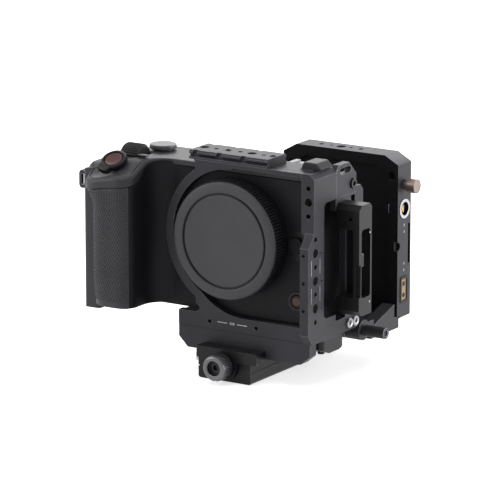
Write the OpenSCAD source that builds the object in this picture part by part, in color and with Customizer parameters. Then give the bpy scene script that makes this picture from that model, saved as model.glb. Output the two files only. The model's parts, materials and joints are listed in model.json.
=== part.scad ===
// Cinema camera rig: a compact camera body in a half cage, on a quick-release base,
// with a block that guards the side ports and a V-type battery plate on a tilting arm.
//
// Frame: X to the right seen from the front, Y backwards, Z up, in millimetres. The origin is
// the tripod thread in the underside of the clamp block. The modules draw around the lens axis,
// with Y = 0 on the lens flange, and at_lens() carries them to the frame.

/* [Camera body] */
// Width of the camera body with its grip
body_w = 142; // [134:1:171]
// Height of the camera body
body_h = 85.8; // [80:0.1:103]
// Depth of the camera body behind its front face
body_d = 37; // [33:0.5:45]
// Distance from the lens axis to the side of the body away from the grip
axis_to_side = 47; // [45:0.5:52]
// Distance from the lens axis down to the underside of the body
axis_to_bottom = 45.4; // [45:0.2:50]
// Set-back of the front face behind the lens flange
front_set = 3; // [2:0.1:5]
// Wall of the moulded covers
cover_t = 2; // [1.6:0.1:2.6]

/* [Grip] */
// Width of the grip where it meets the body
grip_w = 40; // [36:0.5:46]
// Reach of the grip in front of the front face
grip_reach = 30; // [25:0.5:34]
// Thickness of the rubber on the grip
rubber_t = 1.5; // [1:0.1:2]
// Slope of the deck that carries the record button, in degrees
deck_slope = 30; // [20:1:35]
// Diameter of the record button
record_d = 10.8; // [9:0.1:12]
// Diameter of the power lever ring around it
power_d = 17; // [16:0.1:19]
// Diameter of the flat dial on the top deck
top_dial_d = 15.8; // [13:0.1:19]
// Diameter of the ribbed front wheel
wheel_d = 17; // [15:0.1:18]
// Width of the ribbed front wheel
wheel_w = 13; // [11:0.5:15]

/* [Lens mount] */
// Throat of the lens mount
throat_d = 54; // [50:0.5:56]
// Diameter of the ring around the lens mount
boss_d = 68.8; // [66:0.2:72]
// Diameter of the body cap
cap_d = 69.7; // [66:0.1:74]
// Depth of the body cap in front of the mount ring
cap_h = 10; // [8:0.2:12]
// Diameter of the groove on the cap's face
cap_groove_d = 54; // [48:0.5:58]

/* [Cage] */
// Thickness of the cage's side plate
cage_t = 5.7; // [5:0.1:7]
// Gap between the side of the body and the cage
cage_gap = 2; // [1:0.1:3]
// Depth of the cage's front frame
frame_d = 4.7; // [4:0.1:4.9]
// Radius of the opening round the lens mount
arc_r = 40; // [38:0.2:41]
// Radial width of the arc that runs past the lens mount
arc_w = 4.8; // [4:0.1:7]
// Width of the upper pillar, seen from the front
pillar_w = 8.4; // [7.8:0.1:9.5]
// Reach of the lower side plate in front of the flange
side_reach = 7.8; // [6:0.1:8.5]
// Depth of the top plate from front to back
top_plate_d = 24; // [22:0.5:29]
// Thickness of the top plate
top_plate_t = 2.5; // [2:0.1:3.5]
// Thickness of the cage's bottom plate
base_plate_t = 8; // [7:0.1:10]
// Pitch of the mounting holes
hole_pitch = 16; // [16:1:20]
// Bore of the large threaded holes
thread_d = 5.6; // [5:0.05:6.2]
// Bore of the small locating holes
pin_d = 3; // [2.4:0.1:3.4]

/* [Top rail] */
// Length of the accessory rail
rail_l = 52.4; // [44:0.2:64]
// Width of the accessory rail across its lips
rail_w = 21; // [18:0.2:24]
// Height of the accessory rail
rail_h = 5.2; // [4.6:0.1:7]

/* [Quick-release base] */
// Width of the clamp block
block_w = 35.6; // [32:0.2:43]
// Length of the clamp block
block_l = 63; // [54:0.5:70]
// Height of the clamp block
block_h = 14.3; // [14:0.1:17]
// Height of the sliding base plate
slide_h = 13; // [11:0.1:15]
// Diameter of the front knob
knob_d = 15.5; // [13:0.1:18]
// Length of the front knob
knob_l = 10; // [8:0.2:14]
// Depth of the tripod thread
tripod_depth = 9; // [7:0.5:11]

/* [Port guard] */
// Reach of the guard block out from the cage
guard_t = 15.3; // [13:0.1:18]
// Depth of the guard block from front to back
guard_d = 13.8; // [13:0.1:17]
// Height of the guard block
guard_h = 64.4; // [56:0.2:66]

/* [Battery plate] */
// Width of the battery plate
plate_w = 78.2; // [70:0.2:94]
// Height of the battery plate
plate_h = 101.6; // [88:0.2:108]
// Thickness of the battery plate
plate_t = 15; // [12.6:0.1:18]
// Distance from the flange to the front of the battery plate
plate_y = 91; // [88:0.2:98]
// Thickness of the tilting arm
arm_t = 7; // [6:0.1:9]

/* [Hidden] */
$fn = 64;

// Colours
graphite = "#2c2d30";
rubber = "#1d1e20";
deck_grey = "#4a4b4f";
black = "#18191b";
steel = "#b9bbbf";
knob_grey = "#77797d";
copper = "#8d7468";
red = "#6b3b3a";
board_green = "#22452f";

// Fit and running clearances
run_gap = 0.4;
fit_gap = 0.05;
seat_gap = 0.2;
eps = 0.01;

// Camera body
body_r = axis_to_side;
body_l = body_r - body_w;
body_b = -axis_to_bottom;
body_t = body_h - axis_to_bottom;
front_y = front_set;
back_y = front_y + body_d;
mid_y = front_y + 15;
grip_r = body_l + grip_w;
grip_f = front_y - grip_reach;
deck_t = 3;
deck_b = body_t - deck_t;

// Cage
cage_in = body_r + cage_gap;
cage_out = cage_in + cage_t;
frame_f = front_y - 0.3 - frame_d;
frame_b = frame_f + frame_d;
top_b = body_t + 0.3;
top_t = top_b + top_plate_t;
pad_t = 1.6;
floor_t = body_b - pad_t;
floor_b = floor_t - base_plate_t;
base_l = body_r - 83.5;
pillar_l = cage_out - pillar_w;
hole_z = -2.2;
window_f = 9;
window_t = body_t - 15.4;
window_b = body_b + 3;
side_back = frame_f + top_plate_d;

// Quick-release base
slide_b = floor_b - slide_h;
block_b = slide_b - block_h;
block_f = -10;
jaw_d = 4;
jaw_travel = 1.5;
lens_z = -block_b;
flange_y = -20;
knob_z = block_b + 10;
knob_f = block_f - 2.2 - knob_l;

// Guard block on the side
guard_f = 22;
guard_b = -42;
guard_x = cage_out + guard_t;

// Battery plate
plate_r = cage_out;
plate_l = plate_r - plate_w;
plate_b = -65;
plate_top = plate_b + plate_h;
pivot_y = 54.5;
pivot_z = -58.8;
socket_y = plate_y + plate_t / 2;

// Record button: its seat on the sloped deck
record_x = grip_r - 18;
deck_break = -6.8;
record_y = deck_break - 5.5;

// Places that the modules share
nose_set = 11;
nose_l = body_l + nose_set;
nose_r1 = 12;
nose_r2 = 7;
shell_f = -13;
shell_drop = 5;
grip_b = body_b + 0.6;
slope = tan(deck_slope);
nose_y = grip_f + 5.5;
nose_z = body_t + (nose_y - deck_break) * slope;
shoulder_x = grip_r - 11;
shoulder_z = body_t - 6;
mount_f = -1;
boss_r = boss_d / 2;
ring_r = boss_r - 2.2;
throat_r = throat_d / 2;
top_dial_x = grip_r - 7;
top_dial_y = front_y + 18;
top_button_x = grip_r - 5;
top_button_y = -2.5;
wheel_x = grip_r - 16;
wheel_y = 5.2;
wheel_z = body_t - 2.8;
shoe_x = [17, 35];
shoe_y = [front_y + 5, back_y];
shoe_sink = 1.5;
record2_x = body_r - 6.5;
record2_z = -32.6;
record2_r = 5.2;
lamp_x = grip_r + 10.5;
lamp_z = body_t - 5.5;
release_x = boss_r + 6;
port_y = [front_y + 7.4, mid_y + 3];
port_z = [-35, 21];
port_hinge = [body_r - cover_t / 2, port_y[0] + cover_t / 2];
board_x = [grip_r + 5, body_r - 5];
board_z = [body_b + 6, deck_b - 8];
board_y = [front_y + 21, front_y + 22.6];
axle_r = 1.5;
cell_w = 20;
cell_d = 38.5;
cell_h = 56;
cell_mid = (nose_l + grip_r) / 2;
cell_x = [cell_mid - cell_w / 2 - 0.4, cell_mid + cell_w / 2 + 0.4];
cell_y = [grip_f + 9, grip_f + 9 + cell_d + 0.8];
door_t = 1.8;
cell_top = grip_b + door_t + seat_gap + cell_h + 0.2;
rear_wheel_x = grip_r - 14;
rear_wheel_z = -6;
rear_button_z = [14, -24];
cell_mid_y = (cell_y[0] + cell_y[1]) / 2;
door_hinge_x = cell_x[1] + 1.6;
door_axis_x = door_hinge_x - door_t / 2;
door_y = [cell_y[0] - 1.5, cell_y[1] + 1.5];
hinge_pin_r = 0.5;
hinge_pin_l = 1.2;
fan_d = 10;
fan_x = [grip_r + 3, body_r - 6];
fan_z = [body_b + 4, deck_b - 8];
screen_t = 8;
screen_y = back_y + fan_d + 0.6;
screen_x = [fan_x[0] + 6, fan_x[1] - 4];
screen_z = [fan_z[0] + 8, fan_z[1] - 3];
hinge_r = 3;
hinge_x = screen_x[1] + hinge_r + 0.6;
hinge_y = screen_y + hinge_r;
cap_f = mount_f - cap_h;
rail_x = [-29, rail_l - 29];
rail_y = [frame_f, frame_f + rail_w];
bar_t = floor_t + 0.7;
slot_r = 2.3;
slot_z = floor_t + 1 + slot_r;
slot_end = base_l + 12;
low_arc_x = 8;
pillar_z = 6;
hole_x = pillar_l + 4.5;
front_hole_z = body_t - 13.4;
front_hole_l = 4;
front_thread_r = 2.6;
edge_f = -side_reach;
rail_mid_y = (rail_y[0] + rail_y[1]) / 2;
rail_cx = (rail_x[0] + rail_x[1]) / 2;
notch_x = [rail_cx - 22.2, rail_cx - 22.2 + hole_pitch, rail_cx - 22.2 + 2 * hole_pitch];
rail_thread_x = [rail_cx - 6.3 - hole_pitch, rail_cx - 6.3 + hole_pitch];
rail_screw_x = [rail_cx - 6.3, rail_x[1] - 2.6];
rail_pin_x = [for (k = [-1, 1, 3]) rail_cx - 6.3 + k * hole_pitch / 2];
base_back = 46;
lug_x = [12, 44];
lug_r = 6;
pin_r = 2.5;
bracket_x = [cage_out - 4.3, cage_out - 0.3];
bracket_t = window_t + 3.5;
leg_y = [33, 47];
strap_y = [side_back + seat_gap, 44];
strap_z = [window_t + 0.2, window_t + 19];
screw_y = [36.6, 43];
screw_z = floor_b + 4.6;
strap_screw_y = strap_y[1] - 4;
strap_screw_z = strap_z[0] + 5.6;
guard_y = [guard_f, guard_f + guard_d];
guard_z = [guard_b, guard_b + guard_h];
screw_in = 1.9;
slot_y = [guard_y[0] + 2.6, guard_y[1] - 1.6];
slot_span = [guard_b + 10.4, guard_b + 50.2];
tongue_z = [guard_b + 28.6, guard_b + 36.2];
lever_x = [cage_in - 3.4, cage_out - 0.6];
lever_y = [8, 33];
lever_pin = [cage_in + 2.05, 12];
lever_pin_r = 2;
block_x = [-block_w / 2, block_w / 2];
block_y = [block_f, block_f + block_l];
screw_bore = 2.9;
tripod_r = 3.175;
safety_y = block_f + 5;
safety_z = slide_b - 2.9;
cheek_r = 6;
cheek_w = 9;
cheeks = [[lug_x[1] + run_gap, cage_out - 0.6], [lug_x[0] - run_gap - cheek_w, lug_x[0] - run_gap]];
arm_z = [plate_b - 1, plate_b - 1 + arm_t];
beam_y = pivot_y + lug_r + 2;
shell_z0 = arm_z[1];
plate_cx = (plate_l + plate_r) / 2;
release_z = 18.8;
round_z = 4.6;
round_r = 5.8;
power_z = -43.8;
latch_x = plate_cx + 23;
latch_z = plate_b + 46;

module at_lens() {
    translate([0, flange_y, lens_z]) children();
}

// Helpers ------------------------------------------------------------------

// Rectangle between two corners, with round corners
module round_rect(a, b, r) {
    translate([a[0] + r, b[0]]) square([a[1] - a[0] - 2 * r, b[1] - b[0]]);
    translate([a[0], b[0] + r]) square([a[1] - a[0], b[1] - b[0] - 2 * r]);
    for (u = [a[0] + r, a[1] - r], v = [b[0] + r, b[1] - r]) translate([u, v]) circle(r);
}

// Rectangle between two corners, with cut corners
module cut_rect(a, b, c) {
    polygon([[a[0] + c, b[0]], [a[1] - c, b[0]], [a[1], b[0] + c], [a[1], b[1] - c],
             [a[1] - c, b[1]], [a[0] + c, b[1]], [a[0], b[1] - c], [a[0], b[0] + c]]);
}

// Extrusion of an outline in X and Z, between two values of Y
module along_y(y) {
    translate([0, y[1], 0]) rotate([90, 0, 0]) linear_extrude(y[1] - y[0]) children();
}

// Extrusion of an outline in Y and Z, between two values of X
module along_x(x) {
    translate([x[0], 0, 0]) rotate([90, 0, 90]) linear_extrude(x[1] - x[0]) children();
}

// Extrusion of an outline in X and Y, between two values of Z
module along_z(z) {
    translate([0, 0, z[0]]) linear_extrude(z[1] - z[0]) children();
}

module box(x, y, z) {
    translate([x[0], y[0], z[0]]) cube([x[1] - x[0], y[1] - y[0], z[1] - z[0]]);
}

module rod_x(y, z, x, r) {
    translate([x[0], y, z]) rotate([0, 90, 0]) cylinder(h = x[1] - x[0], r = r);
}

module rod_y(x, z, y, r) {
    translate([x, y[1], z]) rotate([90, 0, 0]) cylinder(h = y[1] - y[0], r = r);
}

module rod_z(x, y, z, r) {
    translate([x, y, z[0]]) cylinder(h = z[1] - z[0], r = r);
}

// Camera body ---------------------------------------------------------------

// Plan of the grip, drawn in by d all round
module grip_plan(d) {
    translate([nose_l + nose_r1, grip_f + nose_r1]) circle(nose_r1 - d);
    translate([grip_r - nose_r2, grip_f + nose_r2]) circle(nose_r2 - d);
    translate([nose_l + nose_r1, grip_f + d])
        square([grip_w - nose_set - nose_r1 - nose_r2, nose_r1]);
    translate([nose_l + nose_r1, grip_f + nose_r2])
        square([grip_w - nose_set - nose_r1 - d, nose_r1]);
    translate([nose_l + d, grip_f + nose_r1])
        square([grip_w - nose_set - 2 * d, back_y - cover_t - seat_gap - grip_f - nose_r1]);
}

// Side view of everything under the deck, drawn down by d. The nose rounds off in front of
// nose_y, and the rubber closes it there
module under_deck(d) {
    polygon([[grip_f - 1, body_b - 20], [back_y + 1, body_b - 20], [back_y + 1, body_t - 3 - d],
             [back_y - 6, body_t - d], [deck_break, body_t - d], [nose_y, nose_z - d],
             [grip_f - 1, nose_z - 8 - d]]);
}

// Where a button sits on the sloped deck, with Z along its press
module on_slope(x) {
    translate([x, record_y, body_t + (record_y - deck_break) * slope])
        rotate([deck_slope, 0, 0]) children();
}

// Front view of everything under the deck, drawn down by d: it falls away over the grip
module under_shoulder(d) {
    polygon([[body_r + 1, body_b - 20], [body_r + 1, body_t - d], [shoulder_x, body_t - d],
             [body_l - 1, shoulder_z - d], [body_l - 1, body_b - 20]]);
}

// Everything that lies under the deck, drawn down by d
module below_deck(d) {
    intersection() {
        along_x([body_l - 1, body_r + 1]) under_deck(d);
        along_y([grip_f - 1, back_y + 1]) under_shoulder(d);
    }
}

module top_cover() color(deck_grey) at_lens() difference() {
    intersection() {
        along_z([body_b, body_t + 1]) {
            grip_plan(0);
            round_rect([body_l, body_r], [shell_f + 13 + front_set, back_y], 4);
            round_rect([body_l, grip_r - 10], [shell_f, back_y], 2.5);
        }
        difference() {
            below_deck(0);
            below_deck(deck_t);
            box([body_l - 1, body_r], [grip_f - 1, nose_y], [body_b, body_t]);
        }
    }
    on_slope(record_x) rod_z(0, 0, [-9, 1], 2.9);
    rod_z(top_dial_x, top_dial_y, [deck_b - 1, body_t + 1], 3);
    rod_z(top_button_x, top_button_y, [deck_b - 1, body_t + 1], 1.9);
    box([wheel_x - wheel_w / 2 - 0.6, wheel_x + wheel_w / 2 + 0.6],
        [wheel_y - wheel_d / 2 - 0.6, wheel_y + wheel_d / 2 + 0.6], [deck_b - 9, body_t + 1]);
    rod_x(wheel_y, wheel_z, [wheel_x - wheel_w / 2 - 3, wheel_x + wheel_w / 2 + 3], axle_r + fit_gap);
    box([shoe_x[0] - seat_gap, shoe_x[1] + seat_gap], [shoe_y[0], back_y + 1],
        [body_t - shoe_sink, body_t + 1]);
}

module body_front_cover() color(graphite) at_lens() difference() {
    along_y([front_y, mid_y]) translate([grip_r + seat_gap, body_b])
        square([body_r - grip_r - seat_gap, deck_b - body_b]);
    along_y([front_y + cover_t, mid_y + 1])
        translate([grip_r + seat_gap + cover_t, body_b + cover_t])
        square([body_r - grip_r - seat_gap - 2 * cover_t, deck_b - body_b - 2 * cover_t]);
    rod_y(0, 0, [front_y - 1, mid_y], throat_r + 2.5);
    rod_z(0, -flange_y, [body_b - 1, body_b + 3], 3.4);
    rod_y(record2_x, record2_z, [front_y - 1, mid_y], record2_r + 0.8);
    rod_y(lamp_x, lamp_z, [front_y - 1, mid_y], 1.6);
    rod_y(release_x, 0, [front_y - 1, mid_y], 2.2);
    rod_z(port_hinge[0], port_hinge[1], [port_z[0] - hinge_pin_l - 0.3, port_z[1] + hinge_pin_l + 0.3],
          hinge_pin_r + fit_gap);
    box([body_r - cover_t - 1, body_r + 1], [port_y[0] - seat_gap, mid_y + 1],
        [port_z[0] - seat_gap, port_z[1] + seat_gap]);
}

module body_rear_cover() color(graphite) at_lens() {
    difference() {
        intersection() {
            along_y([mid_y, back_y]) translate([grip_r + seat_gap, body_b])
                square([body_r - grip_r - seat_gap, deck_b - body_b]);
            below_deck(deck_t);
        }
        along_y([mid_y - 1, back_y - cover_t])
            translate([grip_r + seat_gap + cover_t, body_b + cover_t])
            square([body_r - grip_r - seat_gap - 2 * cover_t, deck_b - body_b - 2 * cover_t - 2.5]);
        box([body_r - cover_t - 1, body_r + 1], [mid_y - 1, port_y[1] + run_gap],
            [port_z[0] - seat_gap, port_z[1] + seat_gap]);
        rod_z(0, -flange_y, [body_b - 1, body_b + 3], 3.4);
    }
    for (x = [board_x[0] + 6, board_x[1] - 6], z = [board_z[0] + 6, board_z[1] - 6])
        rod_y(x, z, [board_y[1], back_y - cover_t + eps], 2.5);
}

module main_board() color(board_green) at_lens()
    box(board_x, board_y, board_z);

module sensor_unit() color(black) at_lens() {
    difference() {
        box([-25, 25], [board_y[0] - 6, board_y[0] - 2], [-20, 20]);
        box([-18, 18], [board_y[0] - 7, board_y[0] - 5], [-12, 12]);
    }
    for (x = [-20, 20], z = [-15, 15]) rod_y(x, z, [board_y[0] - 2 - eps, board_y[0]], 2.5);
}

module grip_core() color(black) at_lens() difference() {
    intersection() {
        along_z([grip_b, body_t]) grip_plan(rubber_t);
        below_deck(deck_t + eps);
    }
    box(cell_x, cell_y, [grip_b - 1, cell_top]);
    box([cell_x[0] - 1.5, door_hinge_x + seat_gap], [cell_y[0] - 1.8, cell_y[1] + 1.8],
        [grip_b - 1, grip_b + door_t + seat_gap]);
    box([nose_l + rubber_t + 2, grip_r - rubber_t - 2], [cell_y[1] + 2, back_y - cover_t - 4],
        [body_b + 3, deck_b - 3]);
    rod_y(door_axis_x, grip_b + door_t / 2, [door_y[0] - 0.3 - hinge_pin_l, door_y[1] + 0.3 + hinge_pin_l],
          hinge_pin_r + fit_gap);
    on_slope(record_x) rod_z(0, 0, [-12, 1], 2.9);
    rod_z(top_dial_x, top_dial_y, [deck_b - 4, body_t], 3);
    rod_z(top_button_x, top_button_y, [deck_b - 4, body_t], 1.9);
    box([wheel_x - wheel_w / 2 - 0.6, wheel_x + wheel_w / 2 + 0.6],
        [wheel_y - wheel_d / 2 - 0.6, wheel_y + wheel_d / 2 + 0.6], [wheel_z - wheel_d / 2 - 0.6, body_t]);
    rod_x(wheel_y, wheel_z, [wheel_x - wheel_w / 2 - 3, wheel_x + wheel_w / 2 + 3], axle_r + fit_gap);
}

module grip_rubber() color(rubber) at_lens() intersection() {
    along_z([grip_b, body_t]) difference() {
        grip_plan(0);
        grip_plan(rubber_t);
        translate([body_l, front_y - 0.2]) square([body_w, back_y]);
    }
    union() {
        below_deck(deck_t + 0.1);
        intersection() {
            below_deck(0);
            box([body_l, body_r], [grip_f - 1, nose_y - 0.1], [body_b, body_t]);
        }
    }
}

module rear_shell() color(graphite) at_lens() difference() {
    intersection() {
        along_z([body_b - shell_drop, deck_b]) {
            round_rect([body_l, nose_l - seat_gap], [shell_f, back_y], 2.5);
            translate([body_l + 3, back_y - cover_t]) square([grip_w - 3, cover_t]);
        }
        below_deck(deck_t);
    }
    box([body_l + cover_t, nose_l - seat_gap - cover_t], [shell_f + 4, back_y - cover_t - 1],
        [body_b + 2, shoulder_z - deck_t - 3]);
    box([nose_l - seat_gap + eps, body_r], [shell_f, back_y + 1], [body_b - 20, body_b]);
    rod_y(rear_wheel_x, rear_wheel_z, [back_y - 4, back_y + 1], axle_r + fit_gap);
    for (z = rear_button_z) rod_y(rear_wheel_x, z, [back_y - 4, back_y + 1], 1.5 + run_gap);
}

module strap_lugs() color(black) at_lens() difference() {
    along_y([shell_f + 3, shell_f + 6]) round_rect([body_l - 5, body_l], [19, 30], 2.4);
    box([body_l - 3.4, body_l - 1.4], [shell_f, shell_f + 9], [21.4, 27.6]);
}

module mount_boss() color(graphite) at_lens() difference() {
    rod_y(0, 0, [mount_f, front_y], boss_r);
    rod_y(0, 0, [mount_f - 1, mount_f + 2.6], ring_r + fit_gap);
    rod_y(0, 0, [mount_f, front_y + 1], throat_r + 2.2);
    for (a = [45:90:315]) rotate([0, a, 0]) rod_y(ring_r - 2.4, 0, [mount_f, front_y + 1], 0.8);
}

module lens_mount() color(steel) at_lens() difference() {
    union() {
        rod_y(0, 0, [mount_f, mount_f + 2.6], ring_r);
        rod_y(0, 0, [mount_f + 1, front_y + cover_t + 1], throat_r + 2);
    }
    rod_y(0, 0, [mount_f - 1, front_y + cover_t + 2], throat_r);
    for (a = [45:90:315]) rotate([0, a, 0]) {
        rod_y(ring_r - 2.4, 0, [mount_f - 1, mount_f + 0.8], 1.5);
        rod_y(ring_r - 2.4, 0, [mount_f - 1, front_y + 1], 0.85);
    }
}

module mount_screws() color(steel) at_lens() for (a = [45:90:315]) rotate([0, a, 0]) {
    rod_y(ring_r - 2.4, 0, [mount_f + 0.1, mount_f + 0.8], 1.4);
    rod_y(ring_r - 2.4, 0, [mount_f + 0.8 - eps, front_y], 0.75);
}

module battery_pack() color(black) at_lens()
    translate([cell_mid - cell_w / 2, cell_y[0] + 0.4, cell_top - cell_h - 0.2])
    cube([cell_w, cell_d, cell_h]);

module battery_door() color(graphite) at_lens() difference() {
    union() {
        along_z([grip_b, grip_b + door_t])
            round_rect([cell_x[0] - 1.2, door_axis_x - seat_gap], door_y, 1.6);
        box([door_axis_x - 2, door_axis_x], door_y, [grip_b, grip_b + door_t]);
        rod_y(door_axis_x, grip_b + door_t / 2, door_y, door_t / 2);
        rod_y(door_axis_x, grip_b + door_t / 2, [door_y[0] - hinge_pin_l, door_y[1] + hinge_pin_l],
              hinge_pin_r);
    }
    box([cell_x[0] + 2, cell_x[0] + 5], [cell_mid_y - 5, cell_mid_y + 5],
        [grip_b - 1, grip_b + 0.8]);
}

// Rear of the body: fan housing, screen and controls --------------------------

module fan_housing() color(black) at_lens() difference() {
    union() {
        along_y([back_y, back_y + fan_d]) round_rect(fan_x, fan_z, 3);
        for (z = [screen_z[0] + 1, screen_z[1] - 7])
            box([hinge_x - 2, hinge_x + 2], [back_y + fan_d - eps, hinge_y], [z, z + 6]);
        for (z = [screen_z[0] + 1, screen_z[1] - 7]) rod_z(hinge_x, hinge_y, [z, z + 6], hinge_r);
    }
    along_y([back_y - 1, back_y + fan_d - cover_t])
        round_rect([fan_x[0] + cover_t, fan_x[1] - cover_t],
                   [fan_z[0] + cover_t, fan_z[1] - cover_t], 1.5);
    for (x = [fan_x[0] + 12:6:fan_x[1] - 12])
        box([x, x + 3], [back_y + 2, back_y + fan_d - 3], [fan_z[0] - 1, fan_z[0] + cover_t + 1]);
    rod_z(hinge_x, hinge_y, [screen_z[0], screen_z[1]], axle_r + fit_gap);
}

module screen() color(black) at_lens() difference() {
    union() {
        along_y([screen_y, screen_y + screen_t]) round_rect(screen_x, screen_z, 3);
        box([screen_x[1] - 4, hinge_x - 1], [screen_y + 1.6, screen_y + 5],
            [screen_z[0] + 7.4, screen_z[1] - 7.4]);
        rod_z(hinge_x, hinge_y, [screen_z[0] + 7.4, screen_z[1] - 7.4], hinge_r - 0.2);
        rod_z(hinge_x, hinge_y, [screen_z[0] + 1.6, screen_z[1] - 1.6], axle_r);
    }
    box([screen_x[0] + 4, screen_x[1] - 4], [screen_y + screen_t - 0.5, screen_y + screen_t + 1],
        [screen_z[0] + 4, screen_z[1] - 4]);
}

module rear_wheel() color(black) at_lens() {
    rod_y(rear_wheel_x, rear_wheel_z, [back_y + 0.4, back_y + 3], 8);
    rod_y(rear_wheel_x, rear_wheel_z, [back_y - 1.8, back_y + 0.4 + eps], axle_r);
}

module rear_button(z) {
    rod_y(rear_wheel_x, z, [back_y + 0.9, back_y + 2.4], 3);
    rod_y(rear_wheel_x, z, [back_y - 1, back_y + 0.9 + eps], 1.5);
}

module menu_button() color(graphite) at_lens() rear_button(rear_button_z[0]);

module play_button() color(graphite) at_lens() rear_button(rear_button_z[1]);

// Controls on the top and front -----------------------------------------------

module record_button() color(red) at_lens() on_slope(record_x) {
    rod_z(0, 0, [1.3, 3.2], record_d / 2);
    rod_z(0, 0, [-2.5, 1.3 + eps], 2.5);
}

module power_lever() color(black) at_lens() on_slope(record_x) difference() {
    union() {
        rod_z(0, 0, [0.3, 2.6], power_d / 2);
        rotate(258) box([power_d / 2 - 1.5, power_d / 2 + 1.6], [-4.6, 4.6], [0.3, 3]);
    }
    rod_z(0, 0, [0, 4], record_d / 2 + run_gap);
}

module front_wheel() color(black) at_lens() {
    rod_x(wheel_y, wheel_z, [wheel_x - wheel_w / 2, wheel_x + wheel_w / 2], wheel_d / 2);
    rod_x(wheel_y, wheel_z, [wheel_x - wheel_w / 2 - 2.4, wheel_x + wheel_w / 2 + 2.4], axle_r);
}

module top_dial() color(deck_grey) at_lens() {
    rod_z(top_dial_x, top_dial_y, [body_t + 1, body_t + 3.6], top_dial_d / 2);
    rod_z(top_dial_x, top_dial_y, [body_t + 0.3, body_t + 1 + eps], top_dial_d / 2 - 1.2);
    rod_z(top_dial_x, top_dial_y, [body_t - 2.5, body_t + 0.3 + eps], 2.6);
}

module top_button() color(deck_grey) at_lens() {
    along_z([body_t + 0.8, body_t + 1.5])
        round_rect([top_button_x - 3.5, top_button_x + 3.5],
                   [top_button_y - 1.9, top_button_y + 1.9], 1.8);
    rod_z(top_button_x, top_button_y, [body_t - 2.4, body_t + 0.8 + eps], 1.5);
}

module record_ring() color(black) at_lens() difference() {
    rod_y(record2_x, record2_z, [front_y - 0.5, front_y + cover_t], record2_r + 0.6);
    rod_y(record2_x, record2_z, [front_y - 1, front_y + cover_t + 1], record2_r - 1.2);
}

module front_record_button() color(red) at_lens() {
    rod_y(record2_x, record2_z, [front_y - 0.8, front_y + 1.4], record2_r - 1.2 - run_gap);
    rod_y(record2_x, record2_z, [front_y + 1.4 - eps, front_y + 3.2], 1.5);
}

module lens_release() color(graphite) at_lens() {
    rod_y(release_x, 0, [front_y - 2.2, front_y - 0.9], 4.6);
    rod_y(release_x, 0, [front_y - 0.9 - eps, front_y + 3], 1.8);
}

module body_cap() color(graphite) at_lens() difference() {
    union() {
        rod_y(0, 0, [cap_f, cap_f + cap_h - 3.5], cap_d / 2);
        rod_y(0, 0, [cap_f + cap_h - 3.5 - eps, mount_f - seat_gap], cap_d / 2 - 1.3);
        rod_y(0, 0, [mount_f - seat_gap - eps, mount_f + 3], throat_r - 0.4);
    }
    rod_y(0, 0, [cap_f + 2.4, mount_f + 4], throat_r - 2.2);
    along_y([cap_f - 1, cap_f + 0.5]) difference() {
        circle(cap_groove_d / 2 + 0.35);
        circle(cap_groove_d / 2 - 0.35);
    }
}

module accessory_shoe() color(steel) at_lens() difference() {
    box(shoe_x, [shoe_y[0] + seat_gap, shoe_y[1]], [body_t - shoe_sink, body_t + 0.2]);
    box([shoe_x[0] + 3, shoe_x[1] - 3], [shoe_y[0] + 3, shoe_y[1] + 1],
        [body_t - shoe_sink + 0.6, body_t + 1]);
}

// Ports on the side -----------------------------------------------------------

module port_door() color(rubber) at_lens() {
    box([body_r - cover_t, body_r], [port_hinge[1], port_y[1]], port_z);
    rod_z(port_hinge[0], port_hinge[1], port_z, cover_t / 2);
    rod_z(port_hinge[0], port_hinge[1], [port_z[0] - hinge_pin_l, port_z[1] + hinge_pin_l], hinge_pin_r);
}

// Cage --------------------------------------------------------------------------

// Opening of the front frame: an arc round the mount, squared off to the right
module lens_opening() {
    circle(arc_r);
    translate([low_arc_x, bar_t + arc_r]) circle(arc_r);
    translate([low_arc_x, bar_t]) square([pillar_l - low_arc_x, top_b - bar_t]);
    translate([0, 0]) square([pillar_l, top_b]);
    translate([low_arc_x, bar_t]) square([cage_in - low_arc_x + 1, pillar_z - bar_t]);
}

module cage_front() color(graphite) at_lens() difference() {
    along_y([frame_f, frame_b]) difference() {
        union() {
            circle(arc_r + arc_w);
            translate([rail_x[0] + 4, 0]) square([cage_in - rail_x[0] - 4, top_t]);
            translate([base_l + 12, floor_b]) square([cage_in - base_l - 12, -floor_b]);
            translate([base_l, floor_b]) square([30, floor_t - floor_b + 0.7]);
        }
        lens_opening();
        translate([slot_end, slot_z]) circle(slot_r);
        translate([base_l - 1, slot_z - slot_r]) square([slot_end - base_l + 1, 2 * slot_r]);
        translate([-60, top_t]) square([200, 50]);
        translate([-60, floor_b - 50]) square([200, 50]);
        translate([cage_in, -80]) square([50, 160]);
        translate([pillar_l, pillar_z]) square([50, 80]);
    }
    for (x = [-15.3, 16.2]) rod_y(x, (floor_b + bar_t) / 2, [frame_f - 1, frame_f + 3], pin_d / 2 - 0.3);
}

// Outline of the side plate in Y and Z, with the window over the ports
module side_outline() {
    difference() {
        polygon([[frame_f, top_t], [frame_f, 9.1], [edge_f, 1.5], [edge_f, floor_b + 6],
                 [frame_f - 1.5, floor_b], [side_back, floor_b], [side_back, top_t]]);
        round_rect([window_f, side_back + 10], [window_b, window_t], 3);
    }
}

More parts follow.
